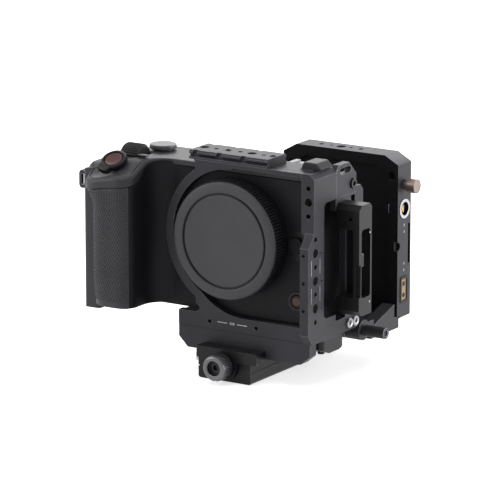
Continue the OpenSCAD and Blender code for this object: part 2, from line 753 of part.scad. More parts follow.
module cage_side() color(graphite) at_lens() difference() {
    union() {
        along_x([cage_in, cage_out]) side_outline();
        along_y([frame_f, frame_b]) polygon([[pillar_l, top_t], [pillar_l, pillar_z + 2.7],
            [cage_in + eps, pillar_z], [cage_in + eps, top_t]]);
        rod_z(lever_pin[0], lever_pin[1], [floor_b - 8.6, floor_b + 1], lever_pin_r);
    }
    for (i = [0:2]) {
        z = hole_z - i * hole_pitch;
        rod_x(0, z, [cage_in - 1, cage_out + 1], thread_d / 2);
        rod_x(0, z + hole_pitch / 2, [cage_in - 1, cage_out + 1], pin_d / 2);
        rod_x(6.6, z - 1, [cage_in - 1, cage_out + 1], 0.7);
    }
    rod_x(0, hole_z - 2.5 * hole_pitch, [cage_in - 1, cage_out + 1], pin_d / 2);
    rod_y(hole_x, front_hole_z, [frame_f - 1, frame_f + front_hole_l], front_thread_r);
    for (s = [-1, 1]) rod_y(hole_x, front_hole_z + s * hole_pitch / 2,
                            [frame_f - 1, frame_f + front_hole_l], pin_d / 2);
    for (i = [0:2]) rod_y(cage_in + 2.2, hole_z - 0.5 - i * hole_pitch, [edge_f - 1, edge_f + 2.6], 1.3);
    translate([cage_out, 0, top_t]) rotate([0, 45, 0]) cube([4, 200, 4], center = true);
}

module cage_screws() color(black) at_lens() for (i = [0:2])
    rod_y(cage_in + 2.2, hole_z - 0.5 - i * hole_pitch, [edge_f + 0.3, edge_f + 2.6], 1.25);

module cage_top() color(graphite) at_lens() {
    box([rail_x[0], cage_in], [frame_b, side_back], [top_b, top_t]);
    along_y([frame_f + 9, side_back - 1.5]) polygon([[cage_in - 9, top_t], [cage_in - 7, top_t + 4.6],
        [cage_out - 4.6, top_t + 4.6], [cage_out - 1, top_t + 1.2], [cage_out - 3, top_t]]);
}

module top_rail() color(graphite) at_lens() difference() {
    along_x(rail_x) polygon([
        [rail_y[0], top_t], [rail_y[1], top_t], [rail_y[1], top_t + 1.2],
        [rail_y[1] - 1.8, top_t + 2.2], [rail_y[1], top_t + 3.4], [rail_y[1], top_t + rail_h - 1],
        [rail_y[1] - 1, top_t + rail_h], [rail_y[0] + 1, top_t + rail_h],
        [rail_y[0], top_t + rail_h - 1], [rail_y[0], top_t + 3.4],
        [rail_y[0] + 1.8, top_t + 2.2], [rail_y[0], top_t + 1.2]]);
    for (x = notch_x) box([x - 1.6, x + 1.6], [rail_y[0] - 1, rail_y[0] + 2],
                          [top_t + 2.2, top_t + rail_h + 1]);
    for (x = notch_x) box([x - 1.6, x + 1.6], [rail_y[1] - 2, rail_y[1] + 1],
                          [top_t + 2.2, top_t + rail_h + 1]);
    for (x = rail_thread_x) rod_z(x, rail_mid_y, [top_t - 1, top_t + rail_h + 1], thread_d / 2);
    for (x = rail_pin_x) rod_z(x, rail_mid_y, [top_t - 1, top_t + rail_h + 1], pin_d / 2);
}

module rail_screws() color(steel) at_lens() for (x = rail_screw_x)
    rod_z(x, rail_mid_y, [top_t + rail_h, top_t + rail_h + 0.6], 1.7);

module cage_base() color(graphite) at_lens() difference() {
    union() {
        box([base_l, cage_in], [frame_b, base_back], [floor_b, floor_t]);
        box(lug_x, [base_back - eps, pivot_y], [floor_b, floor_b + 4]);
        box(lug_x, [pivot_y - lug_r, pivot_y], [pivot_z, floor_b + 4]);
        rod_x(pivot_y, pivot_z, lug_x, lug_r);
    }
    rod_x(pivot_y, pivot_z, [lug_x[0] - 1, lug_x[1] + 1], pin_r + fit_gap);
    rod_z(0, -flange_y, [floor_b - 1, floor_t + 1], 3.3);
    rod_z(0, -flange_y, [floor_b - 1, floor_b + 5], 6.4);
}

module base_pad() color(rubber) at_lens() difference() {
    box([-20, body_r - 6], [front_y + 3, back_y - 3], [floor_t, body_b]);
    rod_z(0, -flange_y, [floor_t - 1, body_b + 1], 3.3);
}

module camera_screw() color(steel) at_lens() {
    rod_z(0, -flange_y, [floor_b + 0.4, floor_b + 5], 6.2);
    rod_z(0, -flange_y, [floor_b + 5 - eps, body_b + cover_t], 3.15);
}

// Side bracket and port guard -----------------------------------------------------

module bracket_plate() color(black) at_lens() difference() {
    along_x(bracket_x) difference() {
        polygon([[side_back + seat_gap, window_t - 7], [side_back + seat_gap, window_t],
                 [strap_y[1] + seat_gap, window_t], [strap_y[1] + seat_gap, bracket_t],
                 [49, bracket_t], [52, bracket_t - 3], [52, guard_b + 16], [leg_y[1], guard_b + 8],
                 [leg_y[1], floor_b + 1], [leg_y[1] - 2, floor_b], [side_back + seat_gap, floor_b],
                 [side_back + seat_gap, window_b - 4],
                 [leg_y[0], window_b - 4], [leg_y[0], window_t - 7]]);
        translate([38.7, window_t - 6.3]) square([4.3, 5.3]);
        for (y = screw_y) translate([y, screw_z]) circle(1.7);
    }
}

module side_screws() color(steel) at_lens() for (y = screw_y) {
    rod_x(y, screw_z, [bracket_x[1], bracket_x[1] + 1.6], 3.05);
    rod_x(y, screw_z, [bracket_x[0], bracket_x[1] + eps], 1.6);
}

module strap_plate() color(graphite) at_lens() along_x([cage_out - 4.2, cage_out]) difference() {
    polygon([[strap_y[0], strap_z[0]], [strap_y[1], strap_z[0]], [strap_y[1], strap_z[1] - 8],
             [strap_y[1] - 8, strap_z[1]], [strap_y[0] + 3, strap_z[1]],
             [strap_y[0], strap_z[1] - 3]]);
    round_rect([strap_y[0] + 4, strap_y[1] - 6], [strap_z[1] - 6, strap_z[1] - 2.4], 1.7);
    translate([strap_screw_y, strap_screw_z]) circle(1.7);
}

module plate_screw() color(steel) at_lens() {
    rod_x(strap_screw_y, strap_screw_z, [cage_out, cage_out + 1.2], 3.1);
    rod_x(strap_screw_y, strap_screw_z, [cage_out - 4.2, cage_out + eps], 1.6);
}

module port_guard() color(graphite) at_lens() difference() {
    along_x([cage_out, guard_x]) difference() {
        polygon([[guard_y[0], guard_z[0] + 3], [guard_y[0] + 3, guard_z[0]],
                 [guard_y[1], guard_z[0]], [guard_y[1], guard_z[1] - 2],
                 [guard_y[1] - 2, guard_z[1]], [guard_y[0] + 3, guard_z[1]],
                 [guard_y[0], guard_z[1] - 3]]);
        round_rect(slot_y, slot_span, 2);
    }
    box([cage_out - 1, guard_x - 4], [guard_y[0] - 1, slot_y[1]],
        [slot_span[0], slot_span[1]]);
    box([guard_x - 2.6, guard_x + 1], [guard_y[0] - 1, guard_y[0] + 1.8],
        [guard_b + 11, guard_b + 30]);
    rod_y(guard_x - 6, guard_z[1] - 8, [guard_y[0] - 1, guard_y[0] + 3], 1.2);
    for (z = [guard_z[0] + 5, guard_z[1] - 5]) rod_x(guard_y[1] - screw_in, z, [cage_out - 1, cage_out + 5], 1.1);
}

module guard_screws() color(steel) at_lens() for (z = [guard_z[0] + 5, guard_z[1] - 5])
    rod_x(guard_y[1] - screw_in, z, [bracket_x[0] - 1.2, bracket_x[0]], 1.9);

module cable_tongue() color(black) at_lens() {
    box([guard_x - 3.8, guard_x - 0.6], [slot_y[0] + 0.3, slot_y[0] + 3.6], tongue_z);
}

// Quick-release base -----------------------------------------------------------------

module slide_plate() color(black) at_lens() difference() {
    union() {
        along_y([frame_f, 6]) slide_outline(cage_out - 3);
        along_y([6 - eps, base_back]) slide_outline(lever_x[0] - 1);
    }
    rod_z(0, -flange_y, [slide_b - 1, floor_b + 1], 8);
}

// Cross-section of the sliding plate, out to x
module slide_outline(x) {
    polygon([[base_l, floor_b], [base_l, floor_b - 7], [base_l + 6, slide_b],
             [x - 6, slide_b], [x, slide_b + 5], [x, floor_b]]);
}

module lever() color(black) at_lens() difference() {
    intersection() {
        along_x(lever_x) polygon([[lever_y[0], floor_b - 0.4], [lever_y[1], floor_b - 0.4],
            [lever_y[1], floor_b - 7], [lever_y[1] - 6, floor_b - 9],
            [lever_y[0] + 8, floor_b - 9], [lever_y[0], floor_b - 6]]);
        along_z([slide_b, floor_b]) round_rect(lever_x, lever_y, 3.5);
    }
    rod_z(lever_pin[0], lever_pin[1], [slide_b, floor_b], lever_pin_r + fit_gap);
}

module clamp_block() color(graphite) at_lens() difference() {
    along_y(block_y) cut_rect(block_x, [block_b, slide_b], 1);
    rod_z(0, -flange_y, [block_b - 1, block_b + tripod_depth], tripod_r);
    rod_y(0, knob_z, [block_f - 1, block_f + 22], screw_bore);
    for (x = block_x) box([x - 0.8, x + 0.8], [block_f - 1, block_y[1] + 1],
                          [block_b + 6.8, block_b + 7.4]);
    rod_x(safety_y, safety_z, [block_x[0] - 1, block_x[0] + 8], 2 + fit_gap);
}

module safety_button() color(steel) at_lens() {
    rod_x(safety_y, safety_z, [block_x[0] - 1.4 - eps, block_x[0] + 5], 2);
    box([block_x[0] - 3.2, block_x[0] - 1.4], [safety_y - 2.6, safety_y + 2.6],
        [safety_z - 2.2, safety_z + 2.2]);
}

module clamp_jaw() color(black) at_lens() difference() {
    union() {
        along_y([block_f - 2, block_f - 0.3]) {
            translate([0, knob_z]) circle(9.3);
            round_rect([block_x[0], block_x[1] + 5], [slide_b - 2, slide_b + 5], 1.5);
        }
        along_x([block_x[0], block_x[1] + 5]) difference() {
            round_rect([block_f - 2, frame_f - 0.3 - eps], [slide_b + 0.3, slide_b + 5], 1.5);
        }
    }
    rod_y(0, knob_z, [block_f - 3, block_f], screw_bore);
}

module clamp_knob() color(knob_grey) at_lens() difference() {
    union() {
        rod_y(0, knob_z, [knob_f, block_f - 2.2], knob_d / 2);
        rod_y(0, knob_z, [block_f - 2.2 - eps, block_f + 16], 2.5);
    }
    rod_y(0, knob_z, [knob_f - 1, knob_f + 1.2], 4.6);
}

// Battery plate -----------------------------------------------------------------------

module battery_arm() color(black) at_lens() difference() {
    union() {
        for (c = cheeks) {
            rod_x(pivot_y, pivot_z, c, cheek_r);
            box(c, [pivot_y, beam_y + 3], [pivot_z - 5, pivot_z + 4]);
        }
        box([cheeks[1][0], cheeks[0][1]], [beam_y, plate_y + 3], arm_z);
        along_x([cheeks[0][1] - 8, cheeks[0][1]]) polygon([[beam_y + 2, arm_z[1] - eps],
            [plate_y - 2, arm_z[1] - eps], [plate_y - 2, arm_z[1] + 8], [beam_y + 10, arm_z[1] + 3]]);
    }
    rod_x(pivot_y, pivot_z, [cheeks[1][0] - 1, cage_out + 1], pin_r + fit_gap);
}

module lock_pin() color(black) at_lens() difference() {
    union() {
        rod_x(pivot_y, pivot_z, [cheeks[1][0], cage_out + 0.3 + eps], pin_r);
        rod_x(pivot_y, pivot_z, [cage_out + 0.3, cage_out + 14.3], 3.3);
    }
    rod_x(pivot_y, pivot_z, [cage_out + 12.8, cage_out + 15], 1.7);
}

module battery_shell() color(black) at_lens() difference() {
    along_y([plate_y, plate_y + plate_t]) plate_outline(0);
    along_y([plate_y - 1, plate_y + 2.2]) plate_outline(6);
    along_y([plate_y + 4.4, plate_y + plate_t - 2.4]) plate_outline(9);
    box([cheeks[1][0] - 0.2, cheeks[0][1] + 2], [plate_y - 1, plate_y + 3 + eps], [plate_b - 6, shell_z0]);
    for (i = [-2:2]) rod_z(plate_cx - 4 + i * 8 * 0.84, socket_y, [plate_top - 6, plate_top + 1],
                           i == 0 ? thread_d / 2 : abs(i) == 1 ? 1 : 1.6);
    for (x = [plate_l + 5, plate_r - 5]) rod_y(x, plate_top - 12, [plate_y - 1, plate_y + 4], 2.6);
    rod_x(socket_y, release_z, [plate_r - 12, plate_r + 1], 2.5 + run_gap);
    rod_x(socket_y, round_z, [plate_r - 9, plate_r + 1], round_r + seat_gap / 2);
    box([plate_r - 7, plate_r + 1], [socket_y - 4.1, socket_y + 4.1], [power_z - 7.7, power_z + 7.7]);
    box([plate_r - 2, plate_r + 1], [socket_y + 4.4, socket_y + 6.6], [-29, -5]);
    rod_x(plate_y, -17, [plate_r - 2.4, plate_r + 1], 2.8);
}

// Outline of the battery plate, drawn in by d all round
module plate_outline(d) {
    l = plate_l + d;
    r = plate_r - d;
    t = plate_top - d;
    b = plate_b + d;
    cx = 9;
    cz = 5;
    polygon([[l + cx, b], [r - cx, b], [r, b + cz], [r, t - cz], [r - cx, t], [l + cx, t],
             [l, t - cz], [l, b + cz]]);
}

module battery_receiver() color(black) at_lens() difference() {
    along_y([plate_y + plate_t, plate_y + plate_t + 4.5])
        round_rect([plate_cx - 32, plate_cx + 32], [plate_b + 6, plate_top - 8], 3);
    along_y([plate_y + plate_t + 1.5, plate_y + plate_t + 5]) polygon([
        [plate_cx - 21, plate_top - 7], [plate_cx + 21, plate_top - 7],
        [plate_cx + 16, plate_b + 34], [plate_cx - 16, plate_b + 34]]);
    box([latch_x - 4, latch_x + 4], [plate_y + plate_t + 1, plate_y + plate_t + 5],
        [latch_z - 3.4, latch_z + 6]);
}

module battery_latch() color(steel) at_lens()
    box([latch_x - 3.4, latch_x + 3.4], [plate_y + plate_t + 1.4, plate_y + plate_t + 6.4],
        [latch_z - 0.4, latch_z + 5.4]);

module contact_block() color(black) at_lens() difference() {
    box([plate_cx - 14, plate_cx + 14],
        [plate_y + plate_t + 1.5, plate_y + plate_t + 8], [plate_b + 36, plate_b + 44]);
    for (i = [-2:2]) box([plate_cx + i * 5 - 0.6, plate_cx + i * 5 + 0.6],
        [plate_y + plate_t + 1, plate_y + plate_t + 9], [plate_b + 38, plate_b + 45]);
}

module release_button() color(copper) at_lens() {
    rod_x(socket_y, release_z, [plate_r + 2.6, plate_r + 8.6], 4.2);
    rod_x(socket_y, release_z, [plate_r - 6, plate_r + 2.6 + eps], 2.5);
}

module plate_sockets() color(steel) at_lens() {
    difference() {
        rod_x(socket_y, round_z, [plate_r - 7.6, plate_r + 0.5], round_r);
        rod_x(socket_y, round_z, [plate_r - 5, plate_r + 1], 4);
    }
    rod_x(socket_y, round_z, [plate_r - 5.1, plate_r - 1], 2.6);
    difference() {
        box([plate_r - 6.8, plate_r - 0.2], [socket_y - 4, socket_y + 4], [power_z - 7.6, power_z + 7.6]);
        for (z = [power_z - 3.4, power_z + 3.4]) rod_x(socket_y, z, [plate_r - 5, plate_r + 1], 1.6);
    }
}

body_front_cover();
body_rear_cover();
top_cover();
grip_core();
grip_rubber();
rear_shell();
strap_lugs();
mount_boss();
lens_mount();
mount_screws();
sensor_unit();
main_board();
battery_pack();
fan_housing();
accessory_shoe();
record_ring();
cage_front();
cage_side();
cage_top();
cage_base();
top_rail();
rail_screws();
base_pad();
camera_screw();
cage_screws();
side_screws();
strap_plate();
bracket_plate();
plate_screw();
port_guard();
guard_screws();
slide_plate();
clamp_block();
body_cap();
record_button();
power_lever();
front_wheel();
top_dial();
top_button();
front_record_button();
lens_release();
screen();
rear_wheel();
menu_button();
play_button();
battery_door();
port_door();
clamp_knob();
clamp_jaw();
lever();
safety_button();
cable_tongue();
battery_arm();
battery_shell();
battery_receiver();
battery_latch();
contact_block();
lock_pin();
release_button();
plate_sockets();
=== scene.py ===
# %% [markdown]
# # Cinema camera rig
# A compact video camera sits in a half cage of black anodised aluminium, on a
# quick-release base, with a cable guard at its side and a battery plate behind.
# The engineering model is loaded first and is never moved. This script gives
# every part its finish, and models again the parts whose shape is softer or
# finer than the engineering model holds: the grip, the deck, ribs and knurls,
# threads, screws and contacts.

# %% Load the frame
import bpy, bmesh, json, math
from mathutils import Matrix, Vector

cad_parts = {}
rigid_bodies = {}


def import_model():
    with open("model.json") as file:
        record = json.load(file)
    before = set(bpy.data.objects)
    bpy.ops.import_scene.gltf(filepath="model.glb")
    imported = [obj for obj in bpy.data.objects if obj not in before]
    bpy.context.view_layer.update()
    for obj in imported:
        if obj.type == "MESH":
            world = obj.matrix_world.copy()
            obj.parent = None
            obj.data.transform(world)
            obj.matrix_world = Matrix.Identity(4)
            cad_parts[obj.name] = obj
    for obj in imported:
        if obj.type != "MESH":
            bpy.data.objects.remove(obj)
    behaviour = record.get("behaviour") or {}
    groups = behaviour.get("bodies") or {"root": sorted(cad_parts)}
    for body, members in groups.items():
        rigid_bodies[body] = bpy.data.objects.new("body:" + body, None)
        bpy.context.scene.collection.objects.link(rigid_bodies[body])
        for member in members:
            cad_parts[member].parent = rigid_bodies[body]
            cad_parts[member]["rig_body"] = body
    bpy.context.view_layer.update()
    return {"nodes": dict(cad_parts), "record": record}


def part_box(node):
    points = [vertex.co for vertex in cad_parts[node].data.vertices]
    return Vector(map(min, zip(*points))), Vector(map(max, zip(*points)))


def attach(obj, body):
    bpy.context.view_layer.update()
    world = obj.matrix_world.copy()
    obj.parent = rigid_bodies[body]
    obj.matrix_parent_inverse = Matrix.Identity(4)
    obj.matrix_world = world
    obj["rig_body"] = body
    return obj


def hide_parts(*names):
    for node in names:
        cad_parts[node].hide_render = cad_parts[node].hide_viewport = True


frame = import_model()
nodes = frame["nodes"]
scene = bpy.context.scene

# %% [markdown]
# ## Places
# Every place comes from the frame. The lens axis is the centre of the body
# cap, so most parts are placed from it: x to the right, y from the lens flange
# to the back, z up, in millimetres, as a designer would give them.

# %% Lens axis and helpers for places
MM = 0.001
low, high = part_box("body_cap")
LENS = Vector(((low.x + high.x) / 2, 0.0, (low.z + high.z) / 2))
FLANGE_Y = -20.0                      # the lens flange, in the frame's millimetres
TO_LENS = Vector((0, -FLANGE_Y, -LENS.z / MM))


def at(x, y, z):
    """A point given from the lens flange and axis, in millimetres, as a place in the frame."""
    return Vector((x * MM, (y + FLANGE_Y) * MM, z * MM + LENS.z))


def span(node):
    """Lowest and highest corner of a node, in millimetres."""
    lo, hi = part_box(node)
    return lo / MM, hi / MM


def from_lens(node, pad=0.0):
    """A node's corners from the lens flange and axis, in millimetres, grown by pad."""
    lo, hi = span(node)
    return lo + TO_LENS - Vector((pad,) * 3), hi + TO_LENS + Vector((pad,) * 3)


for n in ("body_cap", "top_cover", "grip_rubber", "clamp_knob"):
    print(n, [round(v, 1) for v in (*span(n)[0], *span(n)[1])])

# %% [markdown]
# ## Finishes
# Nearly everything here is dark grey, so the finishes differ by their grain and
# sheen and not by colour: bead-blasted and anodised aluminium sparkles a little,
# painted magnesium is finer, moulded caps are duller and rubber duller still.
# One function turns hex colours to linear light, and one adds a node.

# %% Colour and node helpers
def linear(hex_colour):
    """An sRGB hex colour as linear RGBA."""
    parts = [int(hex_colour[i:i + 2], 16) / 255 for i in (1, 3, 5)]
    return (*[p / 12.92 if p <= 0.04045 else ((p + 0.055) / 1.055) ** 2.4 for p in parts], 1.0)


def add(tree, kind, **settings):
    """Adds a node. A setting is a property's value, an input's value, or a socket to link."""
    node = tree.nodes.new(kind)
    for key, value in settings.items():
        name = key.replace("_", " ")
        socket = next((s for s in node.inputs if s.name.lower() == name.lower() and s.enabled), None)
        if socket is None:
            setattr(node, key, value)
        elif isinstance(value, bpy.types.NodeSocket):
            tree.links.new(value, socket)
        else:
            socket.default_value = value
    return node


def finish(name, colour, roughness, grain_mm, grain_depth_mm, **shader):
    """A material with grain: a noise of a real size lifts the surface and stirs its colour."""
    mat = bpy.data.materials.new(name)
    mat.use_nodes = True
    tree = mat.node_tree
    bsdf = tree.nodes["Principled BSDF"]
    place = add(tree, "ShaderNodeTexCoord").outputs["Object"]
    grain = add(tree, "ShaderNodeTexNoise", vector=place, scale=1 / (grain_mm * MM), detail=2.0)
    cloud = add(tree, "ShaderNodeTexNoise", vector=place, scale=1 / (22 * MM), detail=1.0)
    stir = add(tree, "ShaderNodeMix", data_type="FLOAT", factor=0.35,
               a=grain.outputs["Fac"], b=cloud.outputs["Fac"])
    tint = add(tree, "ShaderNodeValToRGB", fac=stir.outputs[0])
    base = linear(colour)
    for stop, position, lightness in zip(tint.color_ramp.elements, (0.3, 0.7), (0.78, 1.25)):
        stop.position = position
        stop.color = (*[c * lightness for c in base[:3]], 1)
    gloss = add(tree, "ShaderNodeMapRange", value=grain.outputs["Fac"], from_min=0.3, from_max=0.7,
                to_min=roughness - 0.06, to_max=roughness + 0.06)
    bump = add(tree, "ShaderNodeBump", height=grain.outputs["Fac"], distance=grain_depth_mm * MM,
               strength=1.0)
    tree.links.new(tint.outputs["Color"], bsdf.inputs["Base Color"])
    tree.links.new(gloss.outputs["Result"], bsdf.inputs["Roughness"])
    tree.links.new(bump.outputs["Normal"], bsdf.inputs["Normal"])
    for key, value in shader.items():
        bsdf.inputs[key.replace("_", " ").title().replace("Ior", "IOR")].default_value = value
    return mat


# %% [markdown]
# Each material is named for the real one, and for the painted light or shade
# that some of them also carry. The grain of blasted metal is about 0.1 mm, too
# fine to be seen on an object this wide, so it is drawn at 0.5 mm.

# %% Metals, plastics and rubber
ANODISED = finish("blasted black anodised aluminium", "#333337", 0.44, 0.5, 0.03, metallic=0.2,
                  specular_ior_level=0.16)
HARD_ANODISED_AND_SHADE = finish("hard black anodised aluminium", "#161618", 0.36, 0.5, 0.02, metallic=0.2,
                       specular_ior_level=0.24)
# Lighter than the faces: partly wear, partly a painted highlight on the chamfers.
WORN_EDGE_AND_HIGHLIGHT = finish("polished edge of anodised aluminium", "#707076", 0.3, 0.5, 0.01, metallic=0.4,
                   specular_ior_level=0.4)
SHELL_PAINT_AND_SHADE = finish("graphite painted magnesium", "#17171a", 0.48, 0.6, 0.03, specular_ior_level=0.12)
# The shell's paint drawn lighter: painted light from above on the deck, used again on the rear shell
# and the top button.
LIGHTENED_SHELL_PAINT = finish("satin painted magnesium deck", "#303033", 0.44, 0.6, 0.02, specular_ior_level=0.24)
CAP = finish("textured ABS cap", "#3f3f41", 0.52, 0.7, 0.03, specular_ior_level=0.25)
SHADED_CAP_RIB = finish("smooth ABS rib", "#26262a", 0.42, 0.7, 0.01, specular_ior_level=0.2)
BLACK_ABS_AND_SHADE = finish("satin black ABS", "#141416", 0.4, 0.6, 0.02, specular_ior_level=0.2)
DIAL = finish("satin anodised dial", "#4c4c4f", 0.3, 0.4, 0.01, specular_ior_level=0.35)
RUBBER = finish("moulded silicone rubber", "#3d3d41", 0.52, 0.6, 0.03, specular_ior_level=0.2)
STEEL = finish("turned stainless steel", "#a3a3a6", 0.34, 0.4, 0.002, metallic=1.0)
SHOE = finish("pressed stainless steel", "#7a7a7e", 0.42, 3.0, 0.0, metallic=1.0)
BLACK_STEEL = finish("black oxide steel", "#1a1a1c", 0.34, 0.4, 0.01, metallic=0.6)
KNOB = finish("grey anodised aluminium", "#606063", 0.36, 0.4, 0.015, metallic=0.8)
COPPER = finish("copper-brown anodised aluminium", "#7d6f6a", 0.38, 0.4, 0.01, metallic=0.7)
RECORD = finish("dark red polycarbonate", "#4a2a2c", 0.4, 0.5, 0.01, specular_ior_level=0.3)
GOLD = finish("gold-plated brass", "#c59a5a", 0.26, 0.4, 0.005, metallic=1.0)
BRONZE = finish("dull bronze contact plate", "#8a755c", 0.45, 0.4, 0.01, metallic=0.7)
BOARD = finish("green solder mask", "#12401f", 0.35, 0.6, 0.01)
GLASS = finish("coated black cover glass", "#08090b", 0.08, 3.0, 0.0, coat_weight=0.5)
SENSOR = finish("sensor cover glass", "#1b2430", 0.1, 3.0, 0.0, coat_weight=0.6)
PRINT = finish("white screen-printed ink", "#d8d8da", 0.6, 0.5, 0.005)
print("materials:", len(bpy.data.materials))

# %% [markdown]
# ## Softened edges
# No machined or moulded edge is truly sharp: each has a small chamfer or radius,
# and that thin line of light is what the eye reads as real metal. Each part of
# the engineering model is copied, its loose triangles are merged, and a Bevel
# rounds every edge sharper than 30 degrees. On the anodised parts the bevel's
# faces get a lighter polished edge finish: partly wear, because hands and tables
# rub edges first, and partly a painted highlight for the light the chamfers catch.

# %% Round the edges of a part
def softened(node, mat, width_mm, edge_mat=None, segments=2):
    """A copy of a node with merged faces and rounded edges, standing for the node."""
    source = nodes[node]
    bm = bmesh.new()
    bm.from_mesh(source.data)
    bmesh.ops.remove_doubles(bm, verts=bm.verts, dist=1e-6)
    bmesh.ops.dissolve_limit(bm, angle_limit=math.radians(0.6), verts=bm.verts, edges=bm.edges)
    mesh = bpy.data.meshes.new(node + "_soft")
    bm.to_mesh(mesh)
    bm.free()
    piece = bpy.data.objects.new(node + "_soft", mesh)
    scene.collection.objects.link(piece)
    mesh.materials.append(mat)
    mesh.materials.append(edge_mat or mat)
    for p in mesh.polygons:
        p.use_smooth = True
    bevel = piece.modifiers.new("edges", "BEVEL")
    bevel.width = width_mm * MM
    bevel.segments = segments
    bevel.limit_method = "ANGLE"
    bevel.angle_limit = math.radians(30)
    bevel.use_clamp_overlap = True
    bevel.material = 1
    normals = piece.modifiers.new("normals", "WEIGHTED_NORMAL")
    normals.weight = 80
    return settle(piece, source["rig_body"], node)


def settle(piece, body, *stands_for):
    """Applies a piece's modifiers and gives it to a body of the frame."""
    done = bpy.data.meshes.new_from_object(
        piece.evaluated_get(bpy.context.evaluated_depsgraph_get()))
    done.name = piece.name
    piece.modifiers.clear()
    piece.data = done
    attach(piece, body)
    if stands_for:
        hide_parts(*stands_for)
    return piece


# %% [markdown]
# ## Camera, floor and light
# The camera stands a little above and to the side of the lens, far back with a
# long lens, so the upright edges stay nearly parallel. The rig stands on a pale
# floor under large soft lights. The strongest lamp is at its right, a weaker
# one at its left, and none in front. That is why the front faces stay dark and
# the side faces of the cage are lighter. A gloss sees the room white, which is
# what lights up a top face that is seen at a low angle.

# %% Camera
AZIMUTH, ELEVATION = math.radians(32.4), math.radians(13.6)
DISTANCE, LENS_MM = 2.340, 296.6
target = Vector((0.01088, -0.020, 0.07653))
away = Vector((math.sin(AZIMUTH) * math.cos(ELEVATION), -math.cos(AZIMUTH) * math.cos(ELEVATION),
               math.sin(ELEVATION)))
camera = bpy.data.objects.new("camera_view", bpy.data.cameras.new("camera_view"))
camera.location = target + away * DISTANCE
camera.rotation_euler = (-away).to_track_quat("-Z", "Y").to_euler()
camera.data.lens = LENS_MM
camera.data.sensor_width = 36
camera.data.clip_end = 20
scene.collection.objects.link(camera)
scene.camera = camera

# %% Floor, which the camera sees as white
def white_seen(tree):
    """1 for a ray from the camera, from a gloss or through glass; 0 for the light on the rig."""
    rays = add(tree, "ShaderNodeLightPath")
    seen = rays.outputs["Is Camera Ray"]
    for kind in ("Is Glossy Ray", "Is Transmission Ray"):
        most = add(tree, "ShaderNodeMath", operation="MAXIMUM")
        tree.links.new(seen, most.inputs[0])
        tree.links.new(rays.outputs[kind], most.inputs[1])
        seen = most.outputs[0]
    return seen


FLOOR_GLOW = 0.62                     # what the paper's own light adds to the lamps', seen as white
ROOM_LIGHT = 0.2                      # the white room as a light on the rig
bpy.ops.mesh.primitive_plane_add(size=6, location=(0, 0, -0.0002))
floor = bpy.context.object
floor.name = "floor"
paper = bpy.data.materials.new("pale studio paper")
paper.use_nodes = True
tree = paper.node_tree
diffuse = tree.nodes["Principled BSDF"]
diffuse.inputs["Base Color"].default_value = linear("#f4f4f4")
diffuse.inputs["Roughness"].default_value = 0.7
diffuse.inputs["Emission Color"].default_value = (1, 1, 1, 1)
lift = add(tree, "ShaderNodeMath", operation="MULTIPLY")
tree.links.new(white_seen(tree), lift.inputs[0])
lift.inputs[1].default_value = FLOOR_GLOW
tree.links.new(lift.outputs[0], diffuse.inputs["Emission Strength"])
floor.data.materials.append(paper)

# %% World and lamps
world = bpy.data.worlds.new("studio")
scene.world = world
world.use_nodes = True
tree = world.node_tree
level = add(tree, "ShaderNodeMapRange", to_min=ROOM_LIGHT, to_max=1.0)
tree.links.new(white_seen(tree), level.inputs["Value"])
background = tree.nodes["Background"]
tree.links.new(level.outputs["Result"], background.inputs["Strength"])
background.inputs["Color"].default_value = (1, 1, 1, 1)


def lamp(name, azimuth, elevation, distance, width, height, power):
    """A soft rectangular lamp that looks at the rig from an angle round it."""
    data = bpy.data.lights.new(name, "AREA")
    data.shape = "RECTANGLE"
    data.size, data.size_y, data.energy = width, height, power
    obj = bpy.data.objects.new(name, data)
    a, e = math.radians(azimuth), math.radians(elevation)
    towards = Vector((math.sin(a) * math.cos(e), -math.cos(a) * math.cos(e), math.sin(e)))
    obj.location = target + towards * distance
    obj.rotation_euler = (-towards).to_track_quat("-Z", "Y").to_euler()
    scene.collection.objects.link(obj)


lamp("ceiling", 20, 78, 1.4, 1.2, 1.0, 9)
lamp("left_window", -58, 24, 1.6, 0.9, 1.1, 13)
lamp("right_wall", 118, 10, 1.5, 0.9, 0.9, 24)
lamp("back_wall", 205, 32, 1.6, 1.2, 0.8, 10)
scene.view_settings.view_transform = "Standard"

# %% [markdown]
# ## Machined and moulded parts
# The parts whose shape is right in the engineering model only need their edges
# and their finish. Aluminium parts have a chamfer of about 0.35 mm, mouldings a
# softer radius, and small fittings a fine one. The cage's top is rounded more,
# and the slide plate's edges take the dark finish, as painted shade at the seam
# under the cage.

# %% Cage, rail, base and battery plate
MACHINED = ["cage_front", "cage_side", "cage_top", "cage_base", "top_rail", "strap_plate",
            "bracket_plate", "battery_arm", "battery_shell", "battery_receiver", "strap_lugs",
            "lock_pin", "slide_plate"]
DARK = ["port_guard", "clamp_block", "clamp_jaw", "lever", "cable_tongue"]
CHAMFER = 0.35
# The slide plate's edges take the dark finish, not the lighter one: painted shade at the seam under the
# cage.
OTHER_EDGES = {"cage_top": (0.9, ANODISED, 4), "slide_plate": (CHAMFER, HARD_ANODISED_AND_SHADE)}
for n in MACHINED:
    softened(n, ANODISED, *OTHER_EDGES.get(n, (CHAMFER, WORN_EDGE_AND_HIGHLIGHT)))
for n in DARK:
    softened(n, HARD_ANODISED_AND_SHADE, CHAMFER, WORN_EDGE_AND_HIGHLIGHT)
print("machined parts:", len(MACHINED) + len(DARK))

